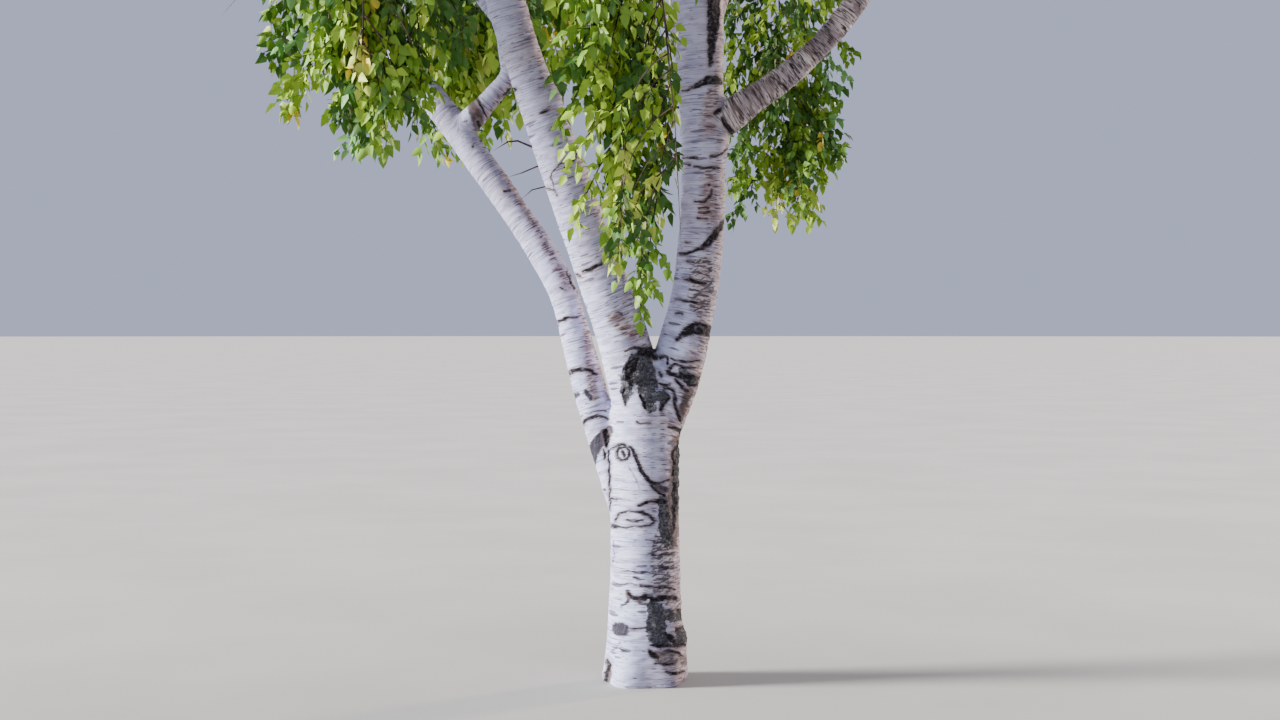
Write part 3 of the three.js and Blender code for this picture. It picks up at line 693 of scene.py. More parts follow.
# Marks on the front of the bark, where the photograph's frame has them: each is a line of rounds, given as
# pixel x, pixel y and half width in pixels. Black scars, with the cracks and lips round old branches:
SCARS = {
    "fork_ridge": [(626, 351, 0.8), (634, 348, 1.5), (645, 348, 2.2), (655, 350, 2)],
    "fork_notch": [(640, 352, 2.5), (650, 353, 4.5), (655, 357, 3)],
    "fork_blot": [(636, 360, 3), (631, 367, 6), (629, 376, 4.5), (631, 383, 2.5)],
    "fork_drip_1": [(624, 387, 1), (624, 397, 2), (626, 404, 1.4)],
    "fork_drip_2": [(641, 396, 1.8), (644, 402, 2.6), (646, 408, 1.4)],
    "fork_drip_3": [(669, 398, 1.4), (664, 404, 1.6), (661, 410, 2)],
    "fork_whorl_1": [(660, 357, 1.8), (667, 356, 1.6), (668, 363, 1.1)],
    "fork_whorl_2": [(659, 372, 1.1), (661, 376, 1.7)],
    "fork_whorl_3": [(657, 381, 0.8), (664, 386, 1.2), (670, 384, 0.9)],
    "fork_curve": [(664, 388, 0.8), (671, 388, 1.2), (675, 394, 2), (675, 403, 1.8), (677, 412, 2),
                   (681, 422, 1.2)],
    "base_stroke_1": [(671, 358, 0.7), (680, 362, 1.4), (698, 361, 0.7)],
    "base_stroke_2": [(668, 372, 2.2), (671, 366, 1.8), (678, 364, 1), (686, 368, 1), (698, 368, 0.6)],
    "base_stroke_3": [(670, 373, 2), (680, 376, 3), (690, 377, 2.6), (702, 378, 1.2)],
    "base_stroke_4": [(676, 380, 1.4), (682, 387, 2), (688, 391, 1.1)],
    "base_stroke_5": [(684, 381, 0.7), (690, 386, 1.1), (699, 384, 0.8)],
    "trunk_dash": [(637, 422, 0.7), (643, 424, 1), (650, 423, 0.6)],
    "east_edge_1": [(668, 427, 0.6), (677, 429, 1.6), (684, 434, 3), (681, 441, 2)],
    "east_edge_2": [(679, 446, 1.6), (673, 450, 1.5), (672, 458, 1.4), (674, 467, 1.3), (672, 475, 1.6)],
    "east_edge_3": [(674, 484, 1.8), (673, 494, 1.8), (675, 503, 2.6), (673, 512, 1.5), (675, 522, 2),
                    (672, 534, 1.6)],
    "eye": [(622, 452, 2.2), (624, 456, 1.8)],
    "eye_brow": [(611, 449, 1.2), (615, 447, 1.4), (623, 444.5, 1.7), (630, 447, 1.6), (634, 452, 2.1),
                 (637, 459, 2.4), (640, 468, 2.1), (646, 477, 2.1), (652, 484, 2.3), (661, 483, 1.4),
                 (669, 480, 1)],
    "under_brow": [(651, 485, 1.4), (656, 491, 1.5), (664, 496, 1.1)],
    "sleeve_1": [(612, 499, 1), (617, 500, 0.6)],
    "sleeve_2": [(638, 506, 0.6), (646, 503, 1.5), (652, 501, 2), (664, 502, 2)],
    "arch": [(616, 521, 1), (619, 514, 1.5), (627, 512, 1.2), (636, 512, 1), (645, 513, 1.7),
             (655, 521, 1.4)],
    "arch_foot": [(611, 526, 1.6), (616, 527, 1.9), (622, 528, 0.8), (636, 527, 0.6), (650, 526, 0.9),
                  (654, 522, 1)],
    "arch_dash": [(627, 520, 0.8), (633, 522, 1), (639, 521, 1.4), (643, 521, 0.7)],
    "belt_1": [(629, 595, 1.4), (634, 599, 2.6), (642, 600, 3.2), (649, 597, 3), (653, 600, 2.2)],
    "belt_2": [(652, 601, 2), (658, 599, 3), (668, 598, 2.8), (675, 599, 1.8)],
    "belt_top": [(640, 586, 0.8), (652, 588, 1.4), (664, 587, 1.6), (675, 590, 1)],
    "foot_line": [(651, 646, 1), (662, 647, 2), (675, 646, 2.6), (687, 646, 1.4)],
    "foot_knot": [(666, 634, 1.5), (669, 638, 3.4), (673, 643, 2.6)],
    "knot_rim": [(676, 630, 1.8), (683, 628, 1.6), (687, 635, 1.4)],
    "foot_edge": [(677, 611, 1.5), (682, 613, 3.4), (684, 619, 2)],
    "level_line": [(631, 630, 0.6), (640, 629, 0.9), (650, 629, 0.7)],
    "foot_dash_1": [(649, 652, 1.6), (654, 656, 2.8), (659, 659, 1.4)],
    "foot_dash_2": [(664, 652, 0.6), (670, 651, 1.5), (676, 654, 1.3), (679, 657, 0.9)],
    "foot_dash_3": [(655, 664, 0.7), (663, 666, 1.5), (672, 664, 0.7)],
    "foot_dash_4": [(667, 673, 1.2), (676, 675, 2.2), (682, 673, 1.2)],
    "foot_crack": [(607, 661, 1.2), (610, 667, 2), (606, 676, 1.8), (604, 690, 2.4)],
    "west_band_1": [(563, 382, 1.8), (566, 376, 2.6), (572, 371.5, 2.6), (580, 369, 2),
                    (588, 370, 1.8), (597, 374, 1.6)],
    "west_band_2": [(580, 428, 1.4), (584, 422, 2), (591, 418, 1.9), (600, 416, 1.6), (608, 419, 1.2)],
    "west_band_3": [(555, 326, 1.8), (560, 321, 1.8), (567, 318, 1.4), (577, 317, 0.9)],
    "west_collar": [(606, 432, 3), (607, 440, 3.2), (607, 446, 1.8)],
    "west_crease": [(604, 450, 1), (605, 458, 1.3)],
    "west_seam": [(608.5, 450, 0.8), (609.5, 468, 1), (610, 486, 1.2), (611, 511, 0.7)],
    "west_dash": [(560, 288, 0.6), (566, 290, 0.6)],
    "west_edge": [(567, 272, 0.7), (570, 281, 1.3), (574, 289, 0.8)],
    "west_spot_1": [(505, 191, 1.5), (510, 191, 0.9)],
    "west_spot_2": [(473, 147, 1.2)],
    "riser_crack_1": [(478, 100, 1.3), (483, 108, 1.2), (486, 118, 0.9)],
    "riser_crack_2": [(478, 122, 1.7), (480, 131, 1.8), (481, 141, 1.2)],
    "cap": [(677, 340, 1.4), (683, 334, 3.4), (690, 329, 5.6), (698, 328, 7), (706, 330, 6),
            (713, 335, 3.4)],
    "right_dash_1": [(684, 279, 1), (690, 280, 2), (698, 282, 1.6), (706, 284, 0.8)],
    "right_dash_2": [(676, 299, 0.7), (684, 301, 1), (692, 302, 1.4), (698, 303, 0.8)],
    "right_dash_3": [(676, 313, 0.7), (683, 314, 1)],
    "right_dash_4": [(687, 261, 1.2), (693, 262, 0.7)],
    "wedge": [(679, 254, 0.8), (688, 253, 1.8), (697, 250, 1.6), (704, 247, 2.6), (711, 240, 3.6),
              (718, 230, 4),
              (726, 220, 1.6)],
    "ring_line_1": [(683, 158, 0.7), (690, 158, 1.2), (697, 158, 0.7)],
    "ring_line_2": [(680, 163, 0.6), (690, 165, 0.7)],
    "ring_line_3": [(694, 167, 0.7), (702, 168, 1.6), (712, 168, 1.4), (719, 168, 0.8)],
    "collar_line": [(710, 157, 1.3), (719, 155, 0.8), (726, 148, 1)],
    "right_spot": [(709, 185, 1.5)],
    "right_hook": [(712, 190, 0.9), (710, 196, 1.4), (706, 201, 1.6), (700, 202, 1.4), (695, 202, 0.8)],
    "right_tick_1": [(699, 208, 0.7), (708, 208, 1)],
    "right_tick_2": [(698, 213, 0.7), (710, 212, 0.8)],
    "right_tick_3": [(698, 218, 0.8), (707, 219, 0.8)],
    "right_tick_4": [(686, 242, 0.9), (690, 242, 0.6)],
    "brow": [(682, 92, 0.5), (690, 90, 1), (697, 86, 2), (704, 82, 4.2), (711, 80, 5), (717, 81, 3.6),
             (721, 84, 2)],
    "under_bough": [(714, 114, 1.6), (719, 111, 3)],
    "bough_collar": [(722, 119, 2.4), (725, 124, 3.4), (731, 132, 3.4), (737, 143, 2.6), (739, 151, 1.2)],
    "bough_crack": [(770, 78, 0.8), (777, 81, 1), (787, 90, 1.4), (790, 100, 1)],
    "cleft": [(713, -12, 6.5), (713, 25, 6), (711, 45, 4), (710, 66, 1.8)],
    "middle_dash": [(583, 272, 1), (590, 270, 2.5), (597, 266, 2.5), (604, 262, 1.5)],
    "middle_edge": [(571, 275, 1.5), (580, 276, 0.9)],
    "middle_wedge": [(565, 170, 1.1), (568, 165, 2.4), (572, 160, 3), (575, 155, 1.5)],
    "middle_vee": [(568, 158, 0.6), (560, 165, 0.6), (551, 174, 0.5), (553, 185, 0.4), (557, 196, 0.4)],
    "middle_spot_1": [(545, 189, 0.9), (550, 189, 1.2), (554, 190, 0.6)],
    "middle_spot_2": [(506, 95, 1.8), (510, 92, 3), (515, 90, 1.8)],
    "middle_spot_3": [(541, 114, 0.8), (545, 112, 1.6), (549, 110, 0.8)],
    "middle_line": [(584, 189, 0.7), (591, 186, 0.5)],
}
# Softer marks, where the black has worn to a purple grey
SMUDGES = {
    "square_patch": [(616, 627, 4), (616, 633, 4), (625, 634, 4.4), (626, 628, 4.4), (616, 627, 4)],
    "square_patch_low": [(613, 650, 1.2), (618, 648, 1), (622, 651, 2), (629, 652, 2.2)],
    "patch_dot": [(620, 643, 1.3)],
    "foot_stain": [(607, 664, 2.4), (609, 672, 3.6), (606, 682, 4), (604, 694, 5)],
    "belt_end": [(628, 592, 3), (629, 602, 2.6), (622, 606, 1.8)],
    "belt_drip": [(640, 604, 1.8), (648, 606, 1.4)],
    "low_dash_1": [(624, 571, 0.8), (635, 573, 1.6), (645, 573, 1.6), (656, 574, 1)],
    "low_dash_2": [(634, 578, 1.6), (644, 580, 1)],
    "low_dash_3": [(650, 567, 0.8), (665, 569, 2), (677, 568, 1.2)],
    "low_dash_4": [(612, 583, 0.8), (622, 585, 1.2), (632, 584, 0.7)],
    "edge_dash_1": [(646, 540, 0.7), (656, 543, 1.4), (668, 541, 1.8)],
    "edge_dash_2": [(648, 554, 0.8), (660, 556, 1.6), (674, 554, 1.4)],
    "brow_low": [(628, 466, 0.5), (640, 488, 0.8)],
    "brow_shade": [(657, 487, 3.4), (665, 490, 4.6)],
    "plumb_line": [(613, 541, 0.8), (614, 548, 0.5), (613, 562, 0.8)],
    "west_blot": [(567, 404, 1.6), (571, 399, 3.2), (578, 394, 2.4)],
    "west_faint": [(586, 391, 2.8), (590, 398, 2.6)],
    "west_faint_2": [(586, 404, 1.4), (590, 404, 1)],
    "west_band_top": [(578, 418, 0.6), (588, 413, 1), (598, 410, 1.5), (606, 411, 1)],
    "west_crescent": [(609, 430, 5), (602, 438, 7), (595, 447, 7), (592, 458, 5), (593, 467, 2.4)],
    "west_low": [(605, 490, 2)],
    "riser_stub": [(468, 121, 0.8), (464, 123, 0.8)],
    "middle_smudge": [(616, 312, 0.8), (622, 314, 1.2)],
}
ROUGH_PATCHES = {
    "fork_west": [(635, 357, 5), (629, 371, 8.5), (626, 386, 6.5), (627, 399, 3)],
    "fork_middle": [(643, 357, 7), (645, 374, 11), (648, 390, 10.5), (650, 405, 7)],
    "fork_east": [(656, 396, 6), (665, 395, 5), (662, 407, 2.4)],
    "base_east": [(682, 371, 4), (692, 382, 6)],
    "foot_middle": [(653, 606, 5), (657, 614, 9), (657, 626, 10.5), (657, 638, 10), (664, 644, 5)],
    "foot_east": [(668, 616, 6.5), (678, 618, 4)],
    "foot_knot": [(680, 637, 6.5)],
    "under_brow": [(664, 499, 4), (664, 512, 6.5), (666, 528, 8), (668, 542, 6)],
    "east_strip": [(684, 430, 2), (679, 446, 3), (677, 468, 3.6), (677, 490, 4.4), (675, 512, 4)],
}
# Stretches stained brown, with dense brown ticks and with wrinkled cracks, in the same form
STAINS = {
    "east_high": [(690, 392, 4), (684, 402, 5), (681, 420, 3)],
    "east_low": [(677, 440, 5), (676, 470, 6), (675, 500, 8), (672, 522, 8), (674, 545, 4)],
    "foot": [(654, 656, 5), (664, 658, 7), (679, 661, 6)],
    "knot": [(681, 637, 5)],
    "foot_edge": [(680, 614, 5)],
    "base_east": [(690, 380, 5)],
    "riser_collar": [(474, 104, 6), (477, 118, 7), (480, 132, 4)],
    "bough_collar": [(732, 140, 4)],
}
# Ticked stretches lie mostly on the right halves of trunk and stems, where their warmer, darker colour is
# painted shade as well as real ticks.
TICKED = {
    "east_edge": [(698, 396, 7), (688, 406, 6), (684, 424, 6), (679, 450, 5), (677, 490, 6), (674, 530, 8)],
    "right_base": [(692, 352, 5), (696, 372, 7)],
    "right_low": [(706, 262, 7), (704, 290, 8), (705, 320, 8)],
    "right_middle": [(710, 178, 8), (710, 214, 10)],
    "right_high": [(712, 98, 9), (708, 130, 8)],
    "middle_low": [(636, 335, 9), (616, 318, 8)],
    "west_high": [(508, 176, 5), (538, 232, 4), (566, 282, 5)],
    "west_low": [(586, 322, 5), (590, 360, 6), (595, 398, 6)],
    "east_bough": [(740, 118, 15), (770, 92, 15), (800, 62, 15), (838, 18, 15), (850, 0, 15)],
}
CRACKED = {
    "east_upper": [(664, 530, 6), (662, 545, 9), (662, 560, 11), (663, 576, 10), (662, 590, 9)],
    "east_lower": [(674, 603, 8)],
    "foot": [(662, 658, 8), (676, 662, 7)],
    "right_low": [(700, 300, 12), (702, 270, 12)],
    "east_bough": [(740, 118, 14), (790, 78, 14), (838, 18, 14)],
}
# Swellings: pixel x, pixel y, radius in pixels and height in metres
SWELLINGS = {
    "foot_knot": (684, 637, 10, 0.014),
    "foot_east": (690, 655, 26, 0.016),
    "middle_stub": (557, 98, 10, 0.022),
    "bough_collar": (722, 140, 20, 0.012),
    "bough_root": (738, 132, 24, 0.02),
    "riser_collar": (476, 116, 12, 0.012),
}
EYE_RING = (623, 454, 6.4, 1.6)  # a round scar: pixel x, pixel y, radius and half width in pixels
FRONT_MARKS = dict(smudge=SMUDGES, rough=ROUGH_PATCHES, cracked=CRACKED, ticked=TICKED, stain=STAINS)

MARK_REACH_PX = 14
CORNER_CUTS, WANDER_PX = 2, 0.5
# Where the front ends, and how fast its marks fade out of reach there
FRONT_EDGE = dict(facing=0.05, away=0.25)
BACK_FACING = 0.1
SWELLING_FADE = dict(facing=0.2, over=0.4)
PHOTO_TOP = 3.15  # the height up to which the photograph shows the tree

# Scars that the photograph doesn't show. Chance gives a dash up to the first of three shares, a band up to
# the next, a brow up to the last, and a blot above that.
FIRST_SCAR_SEED, SCARS_PER_METRE = 900, 10
DASHES, BANDS, BROWS = 0.4, 0.7, 0.92
SCAR_REACH = 0.12
ON_LIMB = 0.5  # how far off a limb's surface it still counts as on the limb, as a share of the radius

# Rough bark round the back of the foot, whose upper edge rises and falls
ROUGH_FOOT = dict(height=0.13, steep=0.5, wave=0.03, waves=3)
# Painted shade by the way the bark faces: warmer, pinker and more densely ticked where it faces right and
# down
FACING_SHADE = dict(least=0.4, right=0.75, up=0.3, most=0.85)
# The middle of a mark's edge and how softly it fades, as a distance in metres
COVERS = dict(cracked=(0.6, 0.02), ticked=(0.5, 0.03), scar=(0, 0.004), rough=(0, 0.015))
RELIEF = dict(swell=0.006, fine=0.0022, scar=0.004, rough=0.008, crack=0.003)
SWELL_GRAIN, FINE_GRAIN = (5, 5, 3), (22, 22, 60)
CALM_FOOT = dict(height=0.05, least=0.2)  # relief dies down towards the flat cut


def chain_distance(points, chain):
    """Distance from points in a plane to a line of rounds joined up, less their half widths."""
    best = np.full(len(points), np.inf)
    for a, b in zip(chain, chain[1:] if len(chain) > 1 else chain):
        run = b[:2] - a[:2]
        t = np.clip((points - a[:2]) @ run / max(run @ run, NEARLY_NONE), 0, 1)
        away = np.linalg.norm(points - a[:2] - t[:, None] * run, axis=1)
        best = np.minimum(best, away - (a[2] + t * (b[2] - a[2])))
    return best


def rounded(chain):
    """The same line of rounds with its corners cut, so that it bends softly."""
    chain = np.array(chain, float)
    for _ in range(CORNER_CUTS):
        ahead = chain[1:] - chain[:-1]
        inner = np.stack([chain[:-1] + ahead * 0.25, chain[:-1] + ahead * 0.75], axis=1).reshape(-1, 3)
        chain = np.concatenate([chain[:1], inner, chain[-1:]])
    return chain


def in_photo(points):
    """Where the photograph's frame has each point, in pixels, and how large a pixel is there."""
    depth = points[:, 1] - EYE.y
    px = PHOTO_WIDTH / 2 + (points[:, 0] - EYE.x) * FOCAL_PX / depth
    py = HORIZON_PY - (points[:, 2] - EYE.z) * FOCAL_PX / depth
    return np.stack([px, py], axis=1), depth / FOCAL_PX


def wander(flat):
    """Small offsets that come and go along a mark, so that its edges aren't ruled."""
    px, py = flat.T
    sideways = np.sin(0.47 * py + 1.4 * np.sin(0.33 * px))
    upward = np.sin(0.41 * px + 1.7 * np.sin(0.52 * py))
    return WANDER_PX * np.stack([sideways, upward], axis=1)


def turned_away(facing):
    """Puts the marks of the front out of reach of the bark that faces away."""
    return np.maximum(0, facing - FRONT_EDGE["facing"]) * FRONT_EDGE["away"]


def photo_marks(points, facing, marks):
    """Signed distance in metres from points on the tree's front to the nearest mark, large elsewhere."""
    flat, pixel = in_photo(points)
    flat = flat + wander(flat)
    nearest = np.full(len(points), np.inf)
    for chain in marks.values():
        chain = rounded(chain)
        low, high = chain[:, :2].min(axis=0) - MARK_REACH_PX, chain[:, :2].max(axis=0) + MARK_REACH_PX
        near = np.all((flat > low) & (flat < high), axis=1)
        nearest[near] = np.minimum(nearest[near], chain_distance(flat[near], chain))
    return np.clip(nearest * pixel + turned_away(facing), -FAR_OFF, FAR_OFF)


def eye_ring(points, facing):
    px, py, radius, half = EYE_RING
    flat, pixel = in_photo(points)
    around = np.abs(np.linalg.norm(flat - (px, py), axis=1) - radius) - half
    return np.clip(around * pixel + turned_away(facing), -FAR_OFF, FAR_OFF)


def front_scars(points, facing):
    return np.minimum(photo_marks(points, facing, SCARS), eye_ring(points, facing))


def stream(seed):
    """Numbers from 0 to 1 that are the same for the same seed."""
    state = (seed * 2654435761) & 0xFFFFFFFF
    while True:
        state = (state * 1664525 + 1013904223) & 0xFFFFFFFF
        yield state / 4294967296


def grown_chain(kind, size, reach):
    """A scar as a line of rounds on unrolled bark: a dash, a band, a brow over an old branch, or a blot."""
    if kind < DASHES:
        return [(-reach * 0.5, 0, 0.001), (0, 0.002, 0.0015 + 0.003 * size), (reach * 0.4, -0.001, 0.001)]
    if kind < BANDS:
        return [(-reach, -0.012 * size, 0.001), (-reach * 0.3, 0.004, 0.003 + 0.003 * size),
                (reach * 0.4, 0.002, 0.002), (reach, -0.02 * size, 0.001)]
    if kind < BROWS:
        return [(-reach, -0.05 * size - 0.015, 0.0015), (-reach * 0.4, -0.004, 0.005 + 0.006 * size),
                (0, 0.006, 0.007 + 0.012 * size), (reach * 0.8, -0.03 * size - 0.01, 0.002)]
    return [(-0.01, 0.01, 0.004), (0, 0, 0.01 + 0.012 * size), (0.008, -0.02, 0.005)]


def unrolled(points, limb):
    """Distance along a limb, the angle round it, and whether a point is on it."""
    s, off_surface = limb_reach(points, limb)
    centre, ahead, side, radius = limb.place(s)
    off = points - centre
    angle = np.arctan2(np.sum(off * np.cross(side, ahead), axis=1), np.sum(off * side, axis=1))
    return s, angle, off_surface < radius * ON_LIMB


def grown_scars(points, names, hidden):
    """Scars dealt out along each limb, where hidden says that the photograph doesn't show the bark."""
    nearest = np.full(len(points), FAR_OFF)
    for index, name in enumerate(names):
        limb = limbs[name]
        draw = stream(FIRST_SCAR_SEED + index)
        s, angle, on_limb = unrolled(points, limb)
        for _ in range(int(limb.length * SCARS_PER_METRE)):
            at, turn = next(draw) * limb.length, (next(draw) * 2 - 1) * math.pi
            kind, size = next(draw), next(draw)
            girth = float(limb.radius(at))
            near = on_limb & (np.abs(s - at) < SCAR_REACH)
            if not near.any():
                continue
            around = (angle[near] - turn + math.pi) % (2 * math.pi) - math.pi
            flat = np.stack([around * girth, s[near] - at], axis=1)
            chain = rounded(grown_chain(kind, size, girth * (0.3 + 0.7 * size)))
            nearest[near] = np.minimum(nearest[near], chain_distance(flat, chain))
    return np.where(hidden, nearest, FAR_OFF)


def swellings(points, facing):
    """How far the bark stands out over burls and collars."""
    flat, _ = in_photo(points)
    out = np.zeros(len(points))
    for px, py, radius, high in SWELLINGS.values():
        away = np.linalg.norm(flat - (px, py), axis=1) / radius
        out += high * np.exp(-away ** 2)
    return out * np.clip(1 - (facing - SWELLING_FADE["facing"]) / SWELLING_FADE["over"], 0, 1)


def rough_foot(points):
    """Signed distance to the rough bark round the back of the foot."""
    angle = np.arctan2(points[:, 1], points[:, 0])
    above = (points[:, 2] - ROUGH_FOOT["height"]) * ROUGH_FOOT["steep"]
    return above + ROUGH_FOOT["wave"] * np.sin(angle * ROUGH_FOOT["waves"])


def shade_by_facing(out):
    """Painted shade by the way the bark faces: most to the right and where it faces down."""
    share = FACING_SHADE["least"] + FACING_SHADE["right"] * out[:, 0] - FACING_SHADE["up"] * out[:, 2]
    return np.clip(share, 0, 1) ** 2 * FACING_SHADE["most"]


def cover(distance, kind):
    """How much of a mark there is: 1 well inside it, and less and less across its edge."""
    middle, soft = COVERS[kind]
    return np.clip(middle - distance / soft, 0, 1)


def noise_at(places, grain):
    return np.array([noise.noise(place) for place in (places * grain).tolist()])


def dress_bark(mesh, names):
    """Gives a bark mesh the attributes that its material reads, and its relief."""
    points, out = coordinates(mesh), normals(mesh)
    facing = out[:, 1]
    back = facing > BACK_FACING
    height, thin, _ = blend_limbs(points, names)
    grain = np.stack([points[:, 0], points[:, 1], height], axis=1)
    unseen = back | (points[:, 2] >= PHOTO_TOP)
    in_front = {kind: photo_marks(points, facing, marks) for kind, marks in FRONT_MARKS.items()}
    marks = dict(
        scar=np.minimum(grown_scars(points, names, unseen), front_scars(points, facing)),
        smudge=in_front["smudge"],
        rough=np.minimum(in_front["rough"], np.where(back, rough_foot(points), FAR_OFF)),
        cracked=cover(in_front["cracked"], "cracked"),
        # Painted shade where the bark faces right and down, joined with the ticked stretches, whose darker
        # colour is partly painted shade too.
        weathered=np.maximum(shade_by_facing(out), cover(in_front["ticked"], "ticked")),
        stain=in_front["stain"],
        thin=thin,
    )
    store(mesh, "grain", grain)
    for name, values in marks.items():
        store(mesh, name, values)
    in_rough = RELIEF["rough"] * cover(marks["rough"], "rough")
    lift = noise_at(grain, SWELL_GRAIN) * RELIEF["swell"]
    lift += noise_at(grain, FINE_GRAIN) * (RELIEF["fine"] + in_rough + RELIEF["crack"] * marks["cracked"])
    lift -= RELIEF["scar"] * cover(marks["scar"], "scar")
    lift *= np.clip(points[:, 2] / CALM_FOOT["height"], CALM_FOOT["least"], 1)
    moved = points + out * (lift + swellings(points, facing))[:, None]
    moved[points[:, 2] < FOOT_CUT, 2] = 0
    mesh.vertices.foreach_set("co", moved.ravel())
    mesh.update()


LOWER_TOP = 3.4  # where the part of the bark that is modelled most finely ends
LOWER_VOXEL = 0.0074
TRUNK_SIDES, STEM_SIDES, LIMB_SIDES, BOUGH_SIDES = 48, 36, 20, 12
RING_SPACING, LIMB_RING_SPACING = 0.03, 0.05
SMOOTHING_LOSS = 0.0025  # what the smoothing takes off a limb's radius
SMOOTH_ROUNDS, FORK_ROUNDS = 8, 30
FORK_WITHIN = 0.03
FOOT_CUT = 0.0005
BAND_HEIGHTS = (0.0, 1.15, 2.0, 2.7, LOWER_TOP)  # where the lower bark is cut level into pieces
BAND_OVERLAP = 0.02  # how far a limb's own bark starts inside the lower bark
SHORTEST_BARK = 0.1
FINE_WITHIN = (0.009, 0.004)  # how near a mark the faces are halved, and halved again


def length_to_height(limb, height):
    """The distance along a limb at which it first reaches a height."""
    s = np.linspace(0, limb.length, 400)
    above = np.nonzero(limb.place(s)[0][:, 2] >= height)[0]
    return float(s[above[0]]) if len(above) else limb.length


def smooth(bm, verts, rounds):
    axes = dict(use_axis_x=True, use_axis_y=True, use_axis_z=True)
    for _ in range(rounds):
        bmesh.ops.smooth_vert(bm, verts=verts, factor=0.5, **axes)


def cut_level(bm, height, keep_above):
    """Cuts a skin at a height, keeps one side and closes it flat."""
    cut = bmesh.ops.bisect_plane(
        bm, geom=bm.verts[:] + bm.edges[:] + bm.faces[:], plane_co=(0, 0, height), plane_no=(0, 0, 1),
        clear_inner=keep_above, clear_outer=not keep_above)["geom_cut"]
    rim = [part for part in cut if isinstance(part, bmesh.types.BMEdge)]
    bmesh.ops.holes_fill(bm, edges=rim)
    for edge in rim:
        edge.smooth = False


def vertex_arrays(bm):
    bm.normal_update()
    bm.verts.index_update()
    return np.array([v.co for v in bm.verts]), np.array([v.normal for v in bm.verts])


def joined_skin(names):
    """One skin round the trunk and what grows from it, up to above the photograph's edge."""
    bm = bmesh.new()
    tube(bm, limbs["trunk"], 0, TRUNK["length"], TRUNK_SIDES, RING_SPACING, foot_lobes, SMOOTHING_LOSS)
    for name in names[1:]:
        end = length_to_height(limbs[name], LOWER_TOP)
        tube(bm, limbs[name], 0, end, STEM_SIDES, RING_SPACING, None, SMOOTHING_LOSS)
    tubes = piece_from("tubes", mesh_from(bm, "tubes"))
    remesh = tubes.modifiers.new("skin", "REMESH")
    remesh.mode = "VOXEL"
    remesh.voxel_size = LOWER_VOXEL
    skin = bpy.data.meshes.new_from_object(tubes.evaluated_get(bpy.context.evaluated_depsgraph_get()))
    bpy.data.objects.remove(tubes)
    return skin


def flatten_foot(bm):
    cut_level(bm, LOWER_VOXEL / 2, True)
    for vert in bm.verts:
        if vert.co.z < LOWER_VOXEL / 2 + FOOT_CUT:
            vert.co.z = 0


def refine_near_marks(bm):
    for within in FINE_WITHIN:
        points, out = vertex_arrays(bm)
        facing = out[:, 1]
        marks = [photo_marks(points, facing, SMUDGES), front_scars(points, facing)]
        near = (np.min(np.abs(marks), axis=0) < within) & (points[:, 2] > FOOT_CUT)
        edges = [edge for edge in bm.edges if near[edge.verts[0].index] and near[edge.verts[1].index]]
        bmesh.ops.subdivide_edges(bm, edges=edges, cuts=1, use_grid_fill=True)


def lower_skin(names):
    """The trunk, its fork and the foot of each stem, smoothed, finer near its marks, with its relief."""
    skin = joined_skin(names)
    bm = bmesh.new()
    bm.from_mesh(skin)
    smooth(bm, bm.verts, SMOOTH_ROUNDS)
    points, _ = vertex_arrays(bm)
    near_fork = blend_limbs(points, names)[2] < FORK_WITHIN
    smooth(bm, [vert for vert in bm.verts if near_fork[vert.index]], FORK_ROUNDS)
    flatten_foot(bm)
    refine_near_marks(bm)
    bm.to_mesh(skin)
    bm.free()
    shade_smooth(skin)
    dress_bark(skin, names)
    return skin


def bark_bands(skin, material):
    """The lower bark as closed pieces, one on the other, each with its lowest and highest height."""
    pieces = []
    for k, (low, high) in enumerate(zip(BAND_HEIGHTS, BAND_HEIGHTS[1:])):
        bm = bmesh.new()
        bm.from_mesh(skin)
        if k > 0:
            cut_level(bm, low, True)
        if high < LOWER_TOP:
            cut_level(bm, high, False)
        mesh = bpy.data.meshes.new(f"lower_bark_{k + 1}")
        bm.to_mesh(mesh)
        bm.free()
        pieces.append((piece_from(mesh.name, mesh, material), low, high))
    return pieces


def limb_bark(name, start, material, sides):
    limb = limbs[name]
    bm = bmesh.new()
    tube(bm, limb, start, limb.length, sides, LIMB_RING_SPACING)
    mesh = mesh_from(bm, name + "_bark")
    dress_bark(mesh, [name])
    return piece_from(name + "_bark", mesh, material)


# Foliage

def off_from(direction, angle, turn):
    """Directions at angles off others, turned round them."""
    angle, turn = np.radians(angle)[..., None], np.radians(turn)[..., None]
    flat = np.where(np.abs(direction[..., 2:]) > NEARLY_UPRIGHT, np.array([1.0, 0, 0]), UP)
    side = unit(np.cross(flat, direction))
    turned = side * np.cos(turn) + np.cross(direction, side) * np.sin(turn)
    return direction * np.cos(angle) + turned * np.sin(angle)


def twig_points(start, direction, length, droop, segments):
    """A twig's points: it sets off in a direction and sinks a little more with each segment."""
    points = [np.array(start, float)]
    heading = np.array(direction, float)
    for _ in range(segments):
        points.append(points[-1] + heading * (length / segments))
        heading = unit(heading - UP * droop)
    return np.array(points)


def on_twig(points, share):
    """Points and directions at shares of the way along a twig."""
    along = np.asarray(share) * (len(points) - 1)
    k = np.minimum(along.astype(int), len(points) - 2)
    step = points[k + 1] - points[k]
    return points[k] + step * (along - k)[..., None], unit(step)


NEARLY_UPRIGHT = 0.95
BOUGH_END = (0.95, 0.63, 0.32)  # how far behind a bough's tip its mass starts to bear twigs
CROWN_BOX = np.array(cad_box) + np.array([[-1], [1]]) * TWIG_REACH
MASS_SIZE = dict(smallest=0.7, start=0.62, length_per_size=5.2)
WOOD_MARGIN = 0.02

